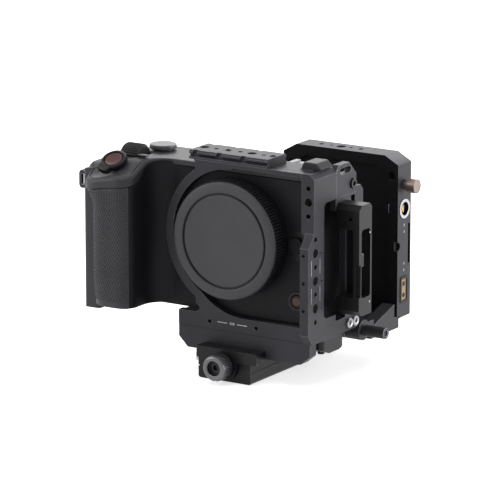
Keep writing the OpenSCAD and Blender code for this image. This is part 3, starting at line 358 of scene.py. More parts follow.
# %% Camera body and its controls
# The rear shell and the top button take the lightened paint: painted light where the lamps fall on
# them.
for n, mat, width in (
        ("body_front_cover", SHELL_PAINT_AND_SHADE, 0.4), ("body_rear_cover", SHELL_PAINT_AND_SHADE, 0.6), ("rear_shell", LIGHTENED_SHELL_PAINT, 1.0),
        ("mount_boss", SHELL_PAINT_AND_SHADE, 0.3), ("lens_release", SHELL_PAINT_AND_SHADE, 0.5), ("battery_door", SHELL_PAINT_AND_SHADE, 0.5),
        ("menu_button", BLACK_ABS_AND_SHADE, 0.4), ("play_button", BLACK_ABS_AND_SHADE, 0.4), ("grip_core", BLACK_ABS_AND_SHADE, 0.4),
        ("fan_housing", BLACK_ABS_AND_SHADE, 0.3), ("screen", BLACK_ABS_AND_SHADE, 0.8), ("port_door", RUBBER, 0.5),
        ("base_pad", RUBBER, 0.3), ("top_button", LIGHTENED_SHELL_PAINT, 0.3), ("record_ring", BLACK_ABS_AND_SHADE, 0.2),
        ("rear_wheel", BLACK_ABS_AND_SHADE, 0.3), ("contact_block", BLACK_ABS_AND_SHADE, 0.2)):
    softened(n, mat, width)

# %% Metal fittings and inner parts
for n, mat in (("lens_mount", STEEL), ("accessory_shoe", SHOE), ("camera_screw", STEEL),
               ("plate_sockets", STEEL), ("battery_latch", STEEL), ("safety_button", STEEL),
               ("release_button", COPPER), ("sensor_unit", SENSOR), ("main_board", BOARD),
               ("battery_pack", BLACK_ABS_AND_SHADE)):
    softened(n, mat, 0.2)

# %% [markdown]
# ## Meshes from rings
# A stud, a rib, a screw head, a thread and a printed mark are all rings of
# points that are joined side by side, so one function makes them.

# %% Pieces from meshes and from rings of points
def as_piece(name, bm, *mats, sharp=35):
    """A mesh object from a bmesh, smooth but for its sharp edges."""
    mesh = bpy.data.meshes.new(name)
    bm.to_mesh(mesh)
    bm.free()
    for mat in mats:
        mesh.materials.append(mat)
    for p in mesh.polygons:
        p.use_smooth = True
    mesh.set_sharp_from_angle(angle=math.radians(sharp))
    piece = bpy.data.objects.new(name, mesh)
    scene.collection.objects.link(piece)
    return piece


def ringed(name, rings, *mats, sharp=35, close="ends"):
    """A piece from rings of points, joined side by side. Its two "ends" are closed by a face, or
    its "top" alone, or the last ring joins the first in a "loop"."""
    bm = bmesh.new()
    rings = [[bm.verts.new(p) for p in ring] for ring in rings]
    if close == "loop":
        rings.append(rings[0])
    for a, b in zip(rings, rings[1:]):
        for i in range(len(a)):
            bm.faces.new((a[i - 1], a[i], b[i], b[i - 1]))
    if close == "ends":
        bm.faces.new(rings[0])
    if close != "loop":
        bm.faces.new(rings[-1])
    bmesh.ops.recalc_face_normals(bm, faces=bm.faces)
    return as_piece(name, bm, *mats, sharp=sharp)


def circle(r_mm, z_mm, steps):
    """Points of a circle about Z, in metres."""
    return [(r_mm * MM * math.cos(2 * math.pi * i / steps),
             r_mm * MM * math.sin(2 * math.pi * i / steps), z_mm * MM) for i in range(steps)]


def rounded(half_a, half_b, r, steps):
    """Points of a rounded rectangle about the origin, from its half sizes."""
    return [(sa * (half_a - r) + r * math.cos(a), sb * (half_b - r) + r * math.sin(a))
            for sa, sb, first in ((1, 1, 0), (-1, 1, 90), (-1, -1, 180), (1, -1, 270))
            for a in (math.radians(first + 90 * i / steps) for i in range(steps + 1))]


# %% [markdown]
# ## Deck and grip
# The hand sees one flowing form: the deck slopes down over the grip and rounds
# over its nose, and the grip's inner side sweeps out in a hollow curve to the
# front face. Boxes and cylinders cannot follow that, so both parts are lofted
# along one plan outline. Each point of the outline carries its own edge radius,
# and a height function bends the deck: it slopes to the front, to the left and at
# the back, and each slope is eased in by softplus.

# %% Plan outline of the grip and the deck
def ease(value, start, end):
    """0 before start, 1 after end, smooth between."""
    t = min(max((value - start) / (end - start), 0), 1)
    return t * t * (3 - 2 * t)


def arc(cx, cy, r, a0, a1, steps):
    """Points on an arc, angles in degrees."""
    return [(cx + r * math.cos(math.radians(a0 + (a1 - a0) * i / steps)),
             cy + r * math.sin(math.radians(a0 + (a1 - a0) * i / steps))) for i in range(steps + 1)]


def line(a, b, steps):
    """Points between two corners, without the last."""
    return [(a[0] + (b[0] - a[0]) * i / steps, a[1] + (b[1] - a[1]) * i / steps) for i in range(steps)]


BODY_L, BODY_R, FRONT, BACK = -95.0, 47.0, 3.0, 40.0
GRIP_R, GRIP_F, NOSE_R = -55.0, -27.0, 12.0
HOLLOW_R = 13.0


def grip_left(z):
    """The grip's left side: waisted for the finger, flared below the deck, drawn in at the foot."""
    return -84.0 - 5.2 * ease(z, 14, 26) + 1.2 * ease(-z, 26, 45)


def nose(z):
    """Outline from the grip's left side round its nose and out to the front face."""
    left = grip_left(z)
    side = arc(left + NOSE_R, GRIP_F + NOSE_R, NOSE_R, 180, 270, 16)
    inner = arc(GRIP_R - 9, GRIP_F + 9, 9, 270, 360, 12)
    hollow = arc(GRIP_R + HOLLOW_R, FRONT - HOLLOW_R, HOLLOW_R, 180, 90, 14)
    return (line((left, 4), side[0], 6) + side[:-1] + line(side[-1], inner[0], 8) + inner[:-1]
            + line(inner[-1], hollow[0], 3) + hollow)


print("grip outline points:", len(nose(0)))

# %% Height of the deck
def soft_ramp(value, width):
    """Rises like value when it is positive and eases to nothing below."""
    return width * math.log1p(math.exp(min(value / width, 40)))


DECK_Z = span("top_cover")[1].z - LENS.z / MM
SLOPE = math.radians(30)              # how steeply the deck falls to the front


def deck_height(x, y):
    """Height of the deck over a point: it falls to the front, to the left and at the back."""
    return (DECK_Z - math.tan(SLOPE) * soft_ramp(-6.8 - y, 1.6)
            + 0.42 * soft_ramp(-18.5 - y, 1.2) - 0.2 * soft_ramp(-66 - x, 2.0)
            - 0.5 * soft_ramp(y - 34, 1.0))


# %% Loft the deck
def lofted_cap(name, outline, radius, skirt, groove, height, rings=7, pitch=2.4):
    """A solid cap over an outline: skirt, rounded rim, joint groove, and a top on height(x, y)."""
    count = len(outline)
    bm = bmesh.new()
    normals = []
    for i in range(count):
        (x0, y0), (x1, y1) = outline[i - 1], outline[(i + 1) % count]
        n = Vector((y0 - y1, x1 - x0))       # inwards, for an outline that runs anticlockwise
        normals.append(n.normalized())
    loops = []
    levels = [("skirt", 0.0)] + [("rim", k / rings * math.pi / 2) for k in range(rings + 1)]
    levels += [("groove", 0.15), ("groove", 0.45), ("flat", 0.6)]
    for kind, t in levels:
        loop = []
        for (x, y), n, r, s, g in zip(outline, normals, radius, skirt, groove):
            inset = r * (1 - math.cos(t)) if kind == "rim" else 0 if kind == "skirt" else r + t
            drop = r * (1 - math.sin(t)) if kind == "rim" else s if kind == "skirt" else 0
            q = Vector((x, y)) + n * inset
            loop.append(bm.verts.new(at(q.x, q.y, height(q.x, q.y) - drop - g * (kind == "groove"))))
        loops.append(loop)
    for a, b in zip(loops, loops[1:]):
        for i in range(count):
            bm.faces.new((a[i - 1], a[i], b[i], b[i - 1]))
    top = bm.faces.new(loops[-1])
    bm.faces.new(list(reversed(loops[0])))
    patch = [top] + list(top.edges) + list(top.verts)
    xs = [v.co.x for v in loops[-1]]
    ys = [v.co.y for v in loops[-1]]
    for axis, values in ((0, xs), (1, ys)):
        cut = min(values) + pitch * MM
        while cut < max(values):
            point, direction = [0, 0, 0], [0, 0, 0]
            point[axis], direction[axis] = cut, 1
            patch = bmesh.ops.bisect_plane(bm, geom=patch, plane_co=point, plane_no=direction)["geom"]
            cut += pitch * MM
    rim = set(loops[-1])
    for v in {v for f in patch if isinstance(f, bmesh.types.BMFace) for v in f.verts} - rim:
        v.co.z = at(0, 0, height(v.co.x / MM, v.co.y / MM - FLANGE_Y)).z
    bmesh.ops.recalc_face_normals(bm, faces=bm.faces)
    return as_piece(name, bm)


front = nose(40)
edge = front + line((front[-1][0] + 3, FRONT), (BODY_R - 1.5, FRONT), 30)
edge += arc(BODY_R - 1.5, FRONT + 1.5, 1.5, -90, 0, 4)
edge += line((BODY_R, FRONT + 3), (BODY_R, BACK - 2), 14)
edge += arc(BODY_R - 2, BACK - 2, 2, 0, 90, 4) + line((BODY_R - 4, BACK), (BODY_L + 5, BACK), 50)
edge += arc(BODY_L + 4, BACK - 4, 4, 90, 180, 6) + line((BODY_L, BACK - 5), (BODY_L, -3), 16)
edge += [(BODY_L + 0.2, -5), (BODY_L + 0.9, -8), (BODY_L + 2.4, -10.5)]
edge = edge[6:]                       # starts on the nose, where the left side ends


def on_grip(x, y):
    """1 round the nose of the grip, 0 on the camera's body, smooth between."""
    return ease(-y, -2.5, 9) if x < -30 else 0.0


def skirt_at(x, y):
    """How far the deck's side hangs below its top: deep on the nose, shallow in the hollow."""
    if x > GRIP_R + HOLLOW_R - 0.5:
        return 3.5
    return 1.3 + 4.4 * ease(-y, 4, 16)


radius = [0.7 + 1.7 * on_grip(x, y) + 2.2 * ease(-x, 88, 94) * (1 - on_grip(x, y))
          + (1.2 if y > BACK - 0.1 else 0) for x, y in edge]
skirt = [max(skirt_at(x, y), r + 0.3) for r, (x, y) in zip(radius, edge)]
groove = [0.5 * on_grip(x, y) + 0.02 for x, y in edge]
deck = lofted_cap("deck", edge, radius, skirt, groove, deck_height)
deck.data.materials.append(LIGHTENED_SHELL_PAINT)
print("deck faces:", len(deck.data.polygons))

# %% Cut the wheel's slot and the shoe's bed out of the deck
def cutter(name, low, high):
    """A plain box to cut with, given from the lens axis in millimetres."""
    bm = bmesh.new()
    bmesh.ops.create_cube(bm, size=1)
    for v in bm.verts:
        v.co = at(*[(l + h) / 2 + c * (h - l) for l, h, c in zip(low, high, v.co)])
    piece = as_piece(name, bm)
    piece.hide_render = True
    return piece


tools = [cutter("slot_tool", *from_lens("front_wheel", 0.6)),
         cutter("shoe_tool", *from_lens("accessory_shoe", 0.1))]
for tool in tools:
    cut = deck.modifiers.new("cut", "BOOLEAN")
    cut.object = tool
    cut.solver = "EXACT"
settle(deck, "camera", "top_cover")
for tool in tools:
    bpy.data.objects.remove(tool)

# %% [markdown]
# The grip's rubber is a skin lofted down the same outline at many heights, so
# its waist and its foot follow the hand. It stops a quarter of a millimetre
# below the deck's skirt, which leaves the dark joint line that real parts have.

# %% Loft the grip's skin
SKIN_LEVELS = 30
PALM_R = GRIP_R - 2.0                  # the pattern ends where the grip turns into the hollow, whose painted shade starts here
FOOT = from_lens("grip_rubber")[0].z


def pulled_back(y):
    """The grip a little less deep, so that its studs stay within the moulding's full depth."""
    return FRONT + (y - FRONT) * 0.982 if y < FRONT else y


def skin_point(i, k):
    """Point i of the outline at level k of the skin, from the foot up to the deck's skirt."""
    x, y = nose(40)[i]
    roof = deck_height(x, y) - skirt_at(min(x, GRIP_R + HOLLOW_R - 0.6), y) - 0.25
    z = FOOT + (roof - FOOT) * k / SKIN_LEVELS
    x, y = nose(z)[i]
    return x, pulled_back(y), z


bm = bmesh.new()
total = len(nose(0))
columns = [[skin_point(i, k) for k in range(SKIN_LEVELS + 1)] for i in range(total)]
grid = [[bm.verts.new(at(*p)) for p in column] for column in columns]
for i in range(total - 1):
    for k in range(SKIN_LEVELS):
        bm.faces.new((grid[i][k], grid[i + 1][k], grid[i + 1][k + 1], grid[i][k + 1]))
bmesh.ops.recalc_face_normals(bm, faces=bm.faces)
if sum(f.normal.y for f in bm.faces) > 0:
    bmesh.ops.reverse_faces(bm, faces=bm.faces)
skin = as_piece("grip_skin", bm, RUBBER, SHELL_PAINT_AND_SHADE)
for p in skin.data.polygons:          # past the palm the skin takes the darker shell paint: painted shade in the hollow
    if p.center.x > at(PALM_R, 0, 0).x:
        p.material_index = 1
thick = skin.modifiers.new("thickness", "SOLIDIFY")
thick.thickness = 1.35 * MM
thick.offset = -1
soften = skin.modifiers.new("edges", "BEVEL")
soften.width = 0.6 * MM
soften.segments = 3
soften.angle_limit = math.radians(60)
settle(skin, "camera", "grip_rubber")

# %% [markdown]
# The grip's pattern is a field of low round studs in staggered rows. One stud
# of a few faces is instanced by Geometry Nodes on points that already lie on
# the skin, and each point's own direction turns its stud outwards.

# %% Studs of the grip
def stud_mesh(name, sides, r_mm, h_mm):
    """A low dome standing on the origin and pointing along +Z."""
    rings = [circle(r * r_mm, h * h_mm, sides) for r, h in ((1, -0.4), (0.85, 0.55), (0.4, 0.95))]
    return ringed(name, rings, sharp=180, close="top")


def scattered(name, stud, places, mat, body, turns=None):
    """Instances a small mesh on places by Geometry Nodes; each place is (point, direction)."""
    mesh = bpy.data.meshes.new(name)
    mesh.from_pydata([p for p, _ in places], [], [])
    facing = mesh.attributes.new("facing", "FLOAT_VECTOR", "POINT")
    facing.data.foreach_set("vector", [c for _, d in places for c in d])
    spin = mesh.attributes.new("spin", "FLOAT", "POINT")
    spin.data.foreach_set("value", turns or [0.0] * len(places))
    piece = bpy.data.objects.new(name, mesh)
    scene.collection.objects.link(piece)
    tree = bpy.data.node_groups.new(name + "_nodes", "GeometryNodeTree")
    tree.interface.new_socket("Geometry", in_out="INPUT", socket_type="NodeSocketGeometry")
    size = tree.interface.new_socket("Size", in_out="INPUT", socket_type="NodeSocketFloat")
    tree.interface.new_socket("Geometry", in_out="OUTPUT", socket_type="NodeSocketGeometry")
    came = add(tree, "NodeGroupInput")
    face = add(tree, "GeometryNodeInputNamedAttribute", data_type="FLOAT_VECTOR", name="facing")
    own = add(tree, "GeometryNodeInputNamedAttribute", data_type="FLOAT", name="spin")
    aim = add(tree, "FunctionNodeAlignRotationToVector", axis="Z", vector=face.outputs["Attribute"])
    about = add(tree, "ShaderNodeCombineXYZ", z=own.outputs["Attribute"])
    turn = add(tree, "FunctionNodeRotateRotation", rotation_space="LOCAL",
               rotation=aim.outputs["Rotation"], rotate_by=about.outputs["Vector"])
    shape = add(tree, "GeometryNodeObjectInfo", object=stud)
    points = add(tree, "GeometryNodeMeshToPoints", mesh=came.outputs["Geometry"])
    put = add(tree, "GeometryNodeInstanceOnPoints", points=points.outputs[0],
              instance=shape.outputs["Geometry"], rotation=turn.outputs["Rotation"])
    tree.links.new(came.outputs["Size"], put.inputs["Scale"])
    real = add(tree, "GeometryNodeRealizeInstances", geometry=put.outputs["Instances"])
    paint = add(tree, "GeometryNodeSetMaterial", geometry=real.outputs["Geometry"], material=mat)
    out = add(tree, "NodeGroupOutput")
    tree.links.new(paint.outputs["Geometry"], out.inputs["Geometry"])
    grow = piece.modifiers.new("scatter", "NODES")
    grow.node_group = tree
    grow[size.identifier] = 1.0
    settle(piece, body)
    bpy.data.objects.remove(stud)
    print(name, "instances:", len(places), "faces:", len(piece.data.polygons))
    return piece


STUD_PITCH = 1.75                     # real studs are nearer 1 mm, too fine to show
STUD_TOP, BARE_RIM = 30, 7.2          # the highest row, and what stays bare below the deck
places = []
row = 0
z = FOOT + 4
while z < STUD_TOP:
    outline = [Vector(p) for p in nose(z)]
    walk = (row % 2) * STUD_PITCH / 2
    run = 0.0
    for a, b in zip(outline[3:44], outline[4:45]):
        step = (b - a).length
        while run + step > walk:
            p = a.lerp(b, (walk - run) / step)
            out = Vector((b.y - a.y, a.x - b.x)).normalized()
            if z < deck_height(p.x, p.y) - BARE_RIM and p.x < PALM_R - 0.4:
                places.append((at(p.x, pulled_back(p.y), z), Vector((out.x, out.y, 0))))
            walk += STUD_PITCH
        run += step
    z += STUD_PITCH * 0.87
    row += 1
scattered("grip_studs", stud_mesh("stud", 8, 0.66, 0.42), places, RUBBER, "camera")

# %% [markdown]
# ## Turned parts: cap, knob and wheels
# These were cut on a lathe or moulded as rings, so each is a profile spun about
# its axis. Their grip ribs repeat, so one rib is made once and Geometry Nodes
# sets it round the ring.

# %% Spin a profile and set ribs round it
def frame_of(axis):
    """Two directions square to an axis, and the axis: a turned part's own frame."""
    axis = Vector(axis).normalized()
    side = Vector((0, 0, 1)).cross(axis)
    side = side.normalized() if side.length > 0.01 else Vector((1, 0, 0))
    return side, axis.cross(side), axis


def turned(name, centre, axis, profile, mat, steps=96, bands=None):
    """A solid of revolution. profile holds (radius, height along the axis) in millimetres."""
    u, v, w = frame_of(axis)
    bm = bmesh.new()
    rings = []
    for r, h in profile:
        angles = [2 * math.pi * i / steps for i in range(steps)] if r else [0.0]
        rings.append([bm.verts.new(centre + (u * math.cos(a) + v * math.sin(a)) * r * MM
                                   + w * h * MM) for a in angles])
    for k, (a, b) in enumerate(zip(rings, rings[1:])):
        for i in range(steps):
            corners = [a[i - 1], a[i]] if len(a) > 1 else [a[0]]
            corners += [b[i], b[i - 1]] if len(b) > 1 else [b[0]]
            face = bm.faces.new(corners)
            face.material_index = bands[k] if bands else 0
    bmesh.ops.recalc_face_normals(bm, faces=bm.faces)
    return as_piece(name, bm, *(mat if isinstance(mat, tuple) else (mat,)), sharp=28)


def rib_mesh(width, length, height, lean=0.0):
    """A rib with a rounded ridge, lying along Y, standing along Z."""
    section = [(-0.5, -0.3), (-0.36, 0.6), (0, 1), (0.36, 0.6), (0.5, -0.3)]
    rings = [[((x * width + lean * y) * MM, y * length * MM, (z * k if z > 0 else z) * height * MM)
              for x, z in section] for y, k in ((-0.5, 0.75), (-0.44, 1), (0.44, 1), (0.5, 0.75))]
    return ringed("rib", rings, sharp=50)


def rib_ring(name, centre, axis, radius, height, count, rib, mat, body, arc_deg=(0, 360)):
    """Sets ribs round an axis, each with its length along it."""
    u, v, w = frame_of(axis)
    places, turns = [], []
    first, last = (math.radians(a) for a in arc_deg)
    for i in range(count):
        a = first + (last - first) * i / (count if arc_deg[1] - arc_deg[0] == 360 else count - 1)
        out = u * math.cos(a) + v * math.sin(a)
        places.append((centre + out * radius * MM + w * height * MM, out))
        aimed = Vector((0, 0, 1)).rotation_difference(out)
        along = aimed @ Vector((0, 1, 0))
        turns.append(math.atan2(out.dot(along.cross(w)), along.dot(w)))
    return scattered(name, rib, places, mat, body, turns)


# %% Body cap
lo, hi = from_lens("body_cap")
cap_r, front = hi.x, lo.y
cap_steps = [(0, 2.6), (26.2, 2.6), (26.7, 2.2), (26.8, 1.0), (27.9, 1.0), (28.0, 2.4), (28.5, 2.75),
            (32.6, 2.75), (33.6, 2.3), (34.1, 1.4), (34.2, -6.8), (34.0, -7.2), (31.4, -7.2),
            (31.4, -9.5), (28.6, -9.5), (28.6, -0.6), (0, -0.6)]
# The cap's face keeps its grey; its rim and back take the black finish and its teeth a darker grey, as
# painted shade on the rim.
cap = turned("cap", at(0, front + 2.75, 0), (0, -1, 0), cap_steps, (CAP, BLACK_ABS_AND_SHADE), 144,
             [0] * 9 + [1] * 7)
settle(cap, "cap", "body_cap")
rib_ring("cap_teeth", at(0, front + 2.75, 0), (0, -1, 0), cap_r - 0.65, -2.7, 120,
         rib_mesh(1.0, 7.8, 0.66), SHADED_CAP_RIB, "cap")

# %% Clamp knob with its socket and knurl
lo, hi = from_lens("clamp_knob")
knob_r = hi.x
knob_at = at(0, lo.y, (lo.z + hi.z) / 2)
knob = turned("knob", knob_at, (0, -1, 0),
              [(0, -4.2), (1.5, -4.2), (1.5, -2.6), (4.1, -2.6), (4.3, -2.4), (4.3, -0.4), (4.7, 0),
               (6.2, 0), (7.0, -0.5), (7.25, -1.0), (7.25, -8.9), (6.8, -9.6), (4.4, -10.0),
               (2.4, -10.2), (2.4, -28), (0, -28)],
              (KNOB, BLACK_STEEL), 72, [1, 1, 1, 1, 1] + [0] * 10)
settle(knob, "knob", "clamp_knob")
rib_ring("knob_knurl", knob_at, (0, -1, 0), knob_r - 0.5, -5.1, 40,
         rib_mesh(0.95, 7.4, 0.55, lean=0.9), KNOB, "knob")

# %% Front wheel and rear wheel
lo, hi = from_lens("front_wheel")
wheel_c = at((lo.x + hi.x) / 2, (lo.y + hi.y) / 2, (lo.z + hi.z) / 2)
tyre, half = (hi.z - lo.z) / 2, (hi.x - lo.x) / 2 - 2.4
wheel = turned("wheel", wheel_c, (1, 0, 0),
               [(0, -half - 2.4), (1.45, -half - 2.4), (1.45, -half), (tyre - 1.8, -half),
                (tyre - 0.7, -half + 0.8), (tyre - 0.5, -half + 1.6), (tyre - 0.5, half - 1.6),
                (tyre - 0.7, half - 0.8), (tyre - 1.8, half), (1.45, half), (1.45, half + 2.4),
                (0, half + 2.4)], BLACK_ABS_AND_SHADE, 72)
settle(wheel, "wheel", "front_wheel")
rib_ring("wheel_ribs", wheel_c, (1, 0, 0), tyre - 0.5, 0, 34, rib_mesh(0.95, 2 * half - 2.4, 0.5),
         BLACK_ABS_AND_SHADE, "wheel")
lo, hi = from_lens("rear_wheel")
thumb_c = at((lo.x + hi.x) / 2, hi.y, (lo.z + hi.z) / 2)
rib_ring("thumb_ribs", thumb_c, (0, 1, 0), (hi.x - lo.x) / 2 - 0.15, -1.4, 36,
         rib_mesh(0.8, 2.6, 0.15), BLACK_ABS_AND_SHADE, "thumb_wheel")

# %% [markdown]
# The record button sits in a ribbed ring, which is also the power lever. Both
# lie on the sloping deck, so their axis leans forward with it. The record
# button on the front is a smaller cap with its own ring. The dial on the deck is
# a flat disc with a fine chamfer that catches the light.

# %% Power lever, front record button and record button
RING_R = 7.6
TAB_AT, TAB_HALF = 252, 32            # the lever's tab: its middle and half width, in degrees
lean_axis = Vector((0, -math.sin(SLOPE), math.cos(SLOPE)))
seat = at(-73, -12.3, DECK_Z - 5.5 * math.tan(SLOPE))
lever = turned("power_ring", seat, lean_axis,
               [(5.75, 0.3), (RING_R - 0.2, 0.3), (RING_R, 0.7), (RING_R, 3.0), (7.2, 3.5), (6.4, 3.75),
                (5.95, 3.4), (5.75, 3.0), (5.75, 0.3)], BLACK_ABS_AND_SHADE, 72)
settle(lever, "power", "power_lever")
u, v, w = frame_of(lean_axis)
rings = []
for i in range(17):
    t = i / 8 - 1
    a = math.radians(TAB_AT + TAB_HALF * t)
    out = u * math.cos(a) + v * math.sin(a)
    reach = RING_R + 2.5 * ease(1 - abs(t), 0, 0.3)
    rings.append([seat + (out * r + w * h) * MM for r, h in
                  ((7.0, 0.4), (reach, 0.4), (reach, 3.1), (reach - 0.6, 3.7), (7.0, 3.7))])
tab = ringed("power_tab", rings, BLACK_ABS_AND_SHADE)
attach(tab, "power")
rib_ring("power_ribs", seat, lean_axis, 10.0, 1.8, 8, rib_mesh(0.8, 2.7, 0.5), BLACK_ABS_AND_SHADE, "power",
         (234, 270))
rib_ring("power_rim_ribs", seat, lean_axis, 7.5, 1.9, 30, rib_mesh(0.8, 2.2, 0.32), BLACK_ABS_AND_SHADE, "power",
         (288, 576))
lo, hi = from_lens("front_record_button")
middle = (lo + hi) / 2
front_button = turned("front_record_cap", at(middle.x, lo.y, middle.z), (0, -1, 0),
                      [(0, 0), (2.5, 0), (2.75, -0.25), (2.95, -0.25), (3.15, 0), (3.4, -0.15),
                       (3.55, -0.5), (3.55, lo.y - hi.y), (0, lo.y - hi.y)],
                      (RECORD, BLACK_ABS_AND_SHADE), 64, [0, 1, 1, 0, 0, 0, 1, 1])
settle(front_button, "front_record", "front_record_button")
button = turned("record_cap", seat, lean_axis,
                [(0, 2.75), (3.0, 2.8), (4.4, 3.0), (4.9, 3.25), (5.2, 3.15), (5.35, 2.8), (5.35, 1.3),
                 (2.4, 1.3), (2.4, -2.4), (0, -2.4)],
                (RECORD, BLACK_ABS_AND_SHADE), 64, [0] * 6 + [1] * 3)
settle(button, "record", "record_button")

# %% Top dial
lo, hi = from_lens("top_dial")
dial_at = at((lo.x + hi.x) / 2, (lo.y + hi.y) / 2, hi.z)
dial = turned("dial", dial_at, (0, 0, 1),
              [(0, 0), (7.1, 0), (7.75, -0.35), (7.85, -0.7), (7.85, -2.3), (7.6, -2.55), (6.7, -2.6),
               (6.7, -3.3), (2.6, -3.4), (2.6, -6.0), (0, -6.0)], DIAL, 96)
settle(dial, "dial", "top_dial")
rib_ring("dial_ribs", dial_at, (0, 0, 1), 7.8, -1.5, 72,
         rib_mesh(0.42, 1.5, 0.16), DIAL, "dial")

# %% [markdown]
# ## Screws and threads
# The cage is held by socket screws, and its large holes are tapped for the
# usual accessory screw. A screw head is a lathe profile with a six-sided
# recess. A thread is drawn as rings of its real pitch, cut down to what a
# plain bore leaves room for.

# %% Screw heads
def socket_screw(r_mm, h_mm, hex_mm, mats):
    """A head with a hexagon socket, its top at the origin, pointing along +Z."""
    steps = 30

    def hexagon(z_mm):
        points = []
        for x, y, z in circle(hex_mm, z_mm, steps):
            turn = math.atan2(y, x) % (math.pi / 3)
            reach = math.cos(math.pi / 6) / math.cos(turn - math.pi / 6)
            points.append((x * reach, y * reach, z))
        return points

    rings = [circle(r_mm, -h_mm, steps), circle(r_mm, -0.35, steps), circle(r_mm - 0.3, 0, steps),
             circle(hex_mm + 0.2, 0, steps), hexagon(-0.15), hexagon(-0.6 * h_mm - 0.3)]
    return ringed("screw", rings, *mats, sharp=30)


def islands(node):
    """The corners of each separate solid in a node, from the lens axis, in millimetres."""
    bm = bmesh.new()
    bm.from_mesh(nodes[node].data)
    bmesh.ops.remove_doubles(bm, verts=bm.verts, dist=1e-6)
    left, found = set(bm.verts), []
    while left:
        front, group = [left.pop()], []
        while front:
            v = front.pop()
            group.append(v.co / MM + TO_LENS)
            near = {e.other_vert(v) for e in v.link_edges} & left
            left -= near
            front += near
        found.append([Vector([f(c[i] for c in group) for i in range(3)]) for f in (min, max)])
    bm.free()
    return sorted(found, key=lambda box: tuple(box[0]))


def screws(name, node, axis, r_mm, h_mm, hex_mm, mat):
    """Puts a detailed head where each screw of a node is."""
    axis = Vector(axis)
    places = []
    for lo, hi in islands(node):
        middle = (lo + hi) / 2
        top = Vector([hi[i] if axis[i] > 0 else lo[i] if axis[i] < 0 else middle[i] for i in range(3)])
        places.append((at(*top), axis))
    piece = scattered(name, socket_screw(r_mm, h_mm, hex_mm, (mat,)), places, mat, "camera")
    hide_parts(node)


screws("rail_screw_heads", "rail_screws", (0, 0, 1), 1.7, 0.55, 0.9, BLACK_STEEL)
screws("side_screw_heads", "side_screws", (1, 0, 0), 3.0, 1.6, 1.5, STEEL)
screws("plate_screw_head", "plate_screw", (1, 0, 0), 3.05, 1.4, 1.5, BLACK_STEEL)
screws("cage_screw_heads", "cage_screws", (0, -1, 0), 1.25, 1.6, 0.7, BLACK_STEEL)
screws("guard_screw_heads", "guard_screws", (-1, 0, 0), 1.9, 1.1, 1.0, STEEL)
screws("mount_screw_heads", "mount_screws", (0, -1, 0), 1.4, 0.8, 0.6, STEEL)

# %% Threads in the large holes
def thread_ring(bore_mm):
    """One crest of a thread: a ring of triangular section inside a bore."""
    rings = [circle(r, z, 28) for r, z in
             ((bore_mm + 0.05, -0.4), (bore_mm - 0.32, 0), (bore_mm + 0.05, 0.4))]
    return ringed("thread", rings, sharp=20, close="loop")


PITCH = 1.27                          # twenty threads to the inch
mounts = {m["name"]: m for m in frame["record"]["mounts"] if m["kind"] == "threaded_hole"}
for bore in sorted({m["dims"]["r_mm"] for m in mounts.values()}):
    groups = {}
    for m in mounts.values():
        if m["dims"]["r_mm"] != bore:
            continue
        axis, mouth = Vector(m["axis"]), Vector(m["pos_m"])
        body = "battery_mount" if m["name"] == "plate_thread" else "camera"
        depth = m["dims"]["length_mm"]
        for k in range(int((depth - 0.9) / PITCH) + 1):
            groups.setdefault(body, []).append((mouth - axis * (0.7 + k * PITCH) * MM, axis))
    for body, places in groups.items():
        # The crests take the black finish too: painted shade in the bores.
        scattered(f"threads_{body}_{int(bore * 100)}", thread_ring(bore), places, BLACK_ABS_AND_SHADE, body)

# %% [markdown]
# ## Sockets, glass and contacts
# The signal socket is a bright ring round a dark insulator, with a gold
# contact that fills half of it. The power socket is a brass plate in a black
# frame, with a pin in each hole. The receiver's spring contacts are bent from
# gold-plated strip, and one strip is made once and set in each slot.

# %% Give some faces of a piece another finish
def refinished(name, mat, test):
    """The faces whose centre passes a test take another finish; the centre is in lens millimetres."""
    piece = scene.objects[name]
    piece.data.materials.append(mat)
    faces = [f for f in piece.data.polygons if test(f.center / MM + TO_LENS, f.normal)]
    for f in faces:
        f.material_index = len(piece.data.materials) - 1
    print(name, "faces in", mat.name + ":", len(faces))


def slab(name, outline, direction, thickness_mm, mat, body, hole=None):
    """A flat plate, or a frame round a hole. The outline's points are in the frame, in metres."""
    lift = Vector(direction) * thickness_mm * MM
    rings = [[p + k * lift for p in outline] for k in (0, 1)]
    rings += [[p + k * lift for p in hole] for k in (1, 0)] if hole else []
    piece = ringed(name, rings, mat, sharp=30, close="loop" if hole else "ends")
    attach(piece, body)
    return piece


# %% Battery plate sockets
(ring_lo, ring_hi), (power_lo, power_hi) = sorted(
    [(lo, hi) for lo, hi in islands("plate_sockets") if hi.y - lo.y > 6], key=lambda b: -b[0].z)
socket_y, ring_z = (ring_lo.y + ring_hi.y) / 2, (ring_lo.z + ring_hi.z) / 2
power_z = (power_lo.z + power_hi.z) / 2
refinished("plate_sockets_soft", BLACK_ABS_AND_SHADE,
           lambda c, n: c.z < power_hi.z + 1 or (math.hypot(c.y - socket_y, c.z - ring_z) < 4.2
                                                 and not (n.x > 0.9 and c.x > ring_hi.x - 0.4)))
half_moon = [at(ring_hi.x - 1.4, socket_y + 2.2 * math.cos(a), ring_z + 2.2 * math.sin(a))
             for a in (math.radians(100 + 160 * i / 14) for i in range(15))]
slab("signal_contact", half_moon, (1, 0, 0), 0.6, GOLD, "battery_mount")


def socket_outline(depth, half_y, half_z, r):
    """A rounded rectangle round the power socket's middle, depth below its face."""
    return [at(power_hi.x - depth, socket_y + y, power_z + z) for y, z in rounded(half_y, half_z, r, 5)]


